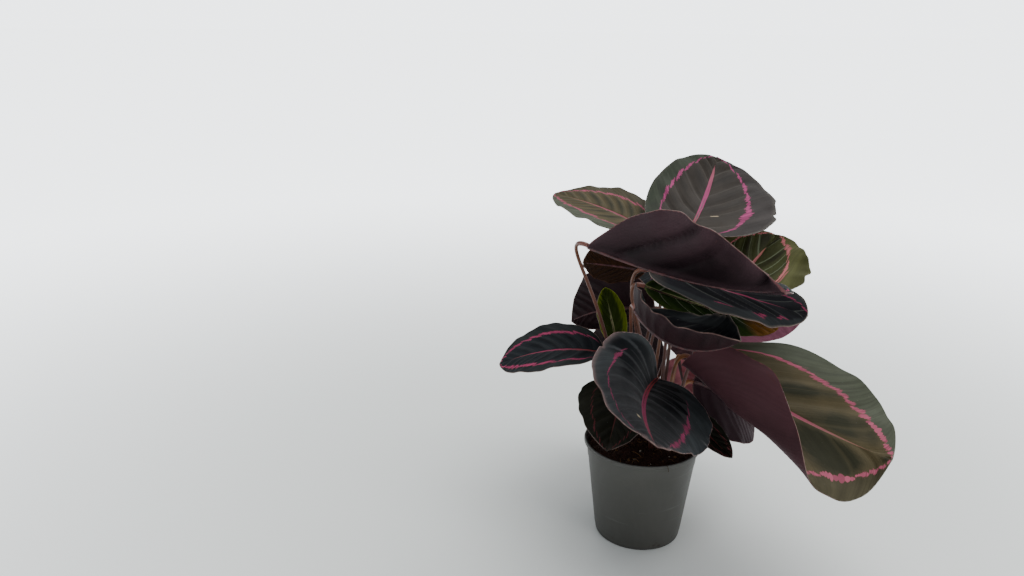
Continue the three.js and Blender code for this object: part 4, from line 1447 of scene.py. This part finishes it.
def scatter_threads():
    threads = []
    for i in range(THREAD_COUNT):
        x, y = spot_on_peat()
        length = chance.uniform(4, 13)
        heading = chance.uniform(0, 6.28)
        bend = chance.uniform(-1.2, 1.2)
        arch = chance.uniform(0.2, 1.6)
        points = []
        for k in np.linspace(-0.5, 0.5, 7):
            angle = heading + bend * k
            px = x * 0.93 + length * k * math.cos(angle)
            py = y * 0.93 + length * k * math.sin(angle)
            keep = min(1.0, CRUMB_REACH / max(math.hypot(px, py), 1.0))
            px, py = px * keep, py * keep
            lift = 0.3 + arch * (0.25 - k * k) * 4
            points.append((px, py, soil_height(px, py) + lumps([px], [py])[0] + lift))
        threads.append(thread(f"thread_{i}", points, chance.uniform(0.12, 0.32), chance.uniform(0.2, 0.75)))
    threads += [thread(name, *laid) for name, laid in LAID_THREADS.items()]
    piece = join(threads)
    piece.name = "peat_threads"
    sew(piece)
    return piece


for piece in (scatter_crumbs(), scatter_threads()):
    piece.data.materials.clear()
    piece.data.materials.append(peat_crumb)
    smooth(piece, 60)
    seat(piece, "peat")
    print(piece.name, len(piece.data.polygons), "faces")

# %% [markdown]
# ## Floor and light
# The plant is shown on a plain pale floor that runs out of sight, so nothing tells where
# floor ends and wall begins. Dark glossy leaves show their form by what they reflect: most
# of the light comes softly from above and behind, and little comes from the camera's
# side, which keeps the faces that look at the camera deep in colour.

# %% Floor
FLOOR_RADIUS = 30.0
FLOOR_DROP = 0.0005
SKY_SEEN = (0.93, 0.965, 1.0)
SKY_SEEN_STRENGTH = 3.6
FAR_GLOW = 2.4

disc = bpy.ops.mesh.primitive_circle_add
below = (0, 0, -FLOOR_DROP)
floor = add_alone(disc, "floor", vertices=128, radius=FLOOR_RADIUS, fill_type="NGON", location=below)


def floor_finish():
    material, tree, shader = new_finish("floor_pale", 0.75, 0.15)
    place = place_on(tree)
    length = tree.nodes.new("ShaderNodeVectorMath")
    length.operation = "LENGTH"
    tree.links.new(place, length.inputs[0])
    far = step_up(tree, length.outputs["Value"], 0.25, 1.9)
    colour = tint(tree, far, (0.70, 0.73, 0.715), (0.80, 0.83, 0.84))
    shader.inputs["Emission Color"].default_value = (*SKY_SEEN, 1)
    glow = times(tree, far, FAR_GLOW)
    tree.links.new(glow, shader.inputs["Emission Strength"])
    dress(tree, shader, colour, speckle(tree, place, 300.0), 0.0001)
    return material


floor.data.materials.append(floor_finish())
print("floor:", FLOOR_RADIUS * 2, "m across")

# %% Lights
def soft_light(name, place, aim, width, power, tone):
    lamp = add_alone(bpy.ops.object.light_add, name, type="AREA", location=place)
    lamp.rotation_euler = (Vector(aim) - Vector(place)).to_track_quat("-Z", "Y").to_euler()
    lamp.data.size = width
    lamp.data.energy = power
    lamp.data.color = tone


def day_light(name, tilt, spread, strength, tone):
    lamp = add_alone(bpy.ops.object.light_add, name, type="SUN", rotation=tilt)
    lamp.data.angle = math.radians(spread)
    lamp.data.energy = strength
    lamp.data.color = tone


def set_sky(tone, strength, seen_tone, seen_strength):
    """The sky lights the scene with one tone and shows itself to the camera in another."""
    world = bpy.data.worlds.new("sky")
    bpy.context.scene.world = world
    world.use_nodes = True
    tree = world.node_tree
    lit = tree.nodes["Background"]
    lit.inputs["Color"].default_value = (*tone, 1)
    lit.inputs["Strength"].default_value = strength
    seen = tree.nodes.new("ShaderNodeBackground")
    seen.inputs["Color"].default_value = (*seen_tone, 1)
    seen.inputs["Strength"].default_value = seen_strength
    paths = tree.nodes.new("ShaderNodeLightPath")
    pick = tree.nodes.new("ShaderNodeMixShader")
    tree.links.new(paths.outputs["Is Camera Ray"], pick.inputs[0])
    tree.links.new(lit.outputs[0], pick.inputs[1])
    tree.links.new(seen.outputs[0], pick.inputs[2])
    tree.links.new(pick.outputs[0], tree.nodes["World Output"].inputs["Surface"])


day_light("daylight_from_above", (math.radians(-20), math.radians(16), 0), 75, 2.7, (1.0, 0.99, 0.97))
soft_light("softbox_above", (0.5, 0.4, 1.5), (0.02, 0, 0.2), 1.2, 9, (0.96, 0.98, 1.0))
soft_light("fill_front_right", (1.1, -1.3, 0.9), (0.05, 0, 0.15), 0.9, 6, (1.0, 0.97, 0.94))
set_sky((0.93, 0.96, 1.0), 0.6, SKY_SEEN, SKY_SEEN_STRENGTH)
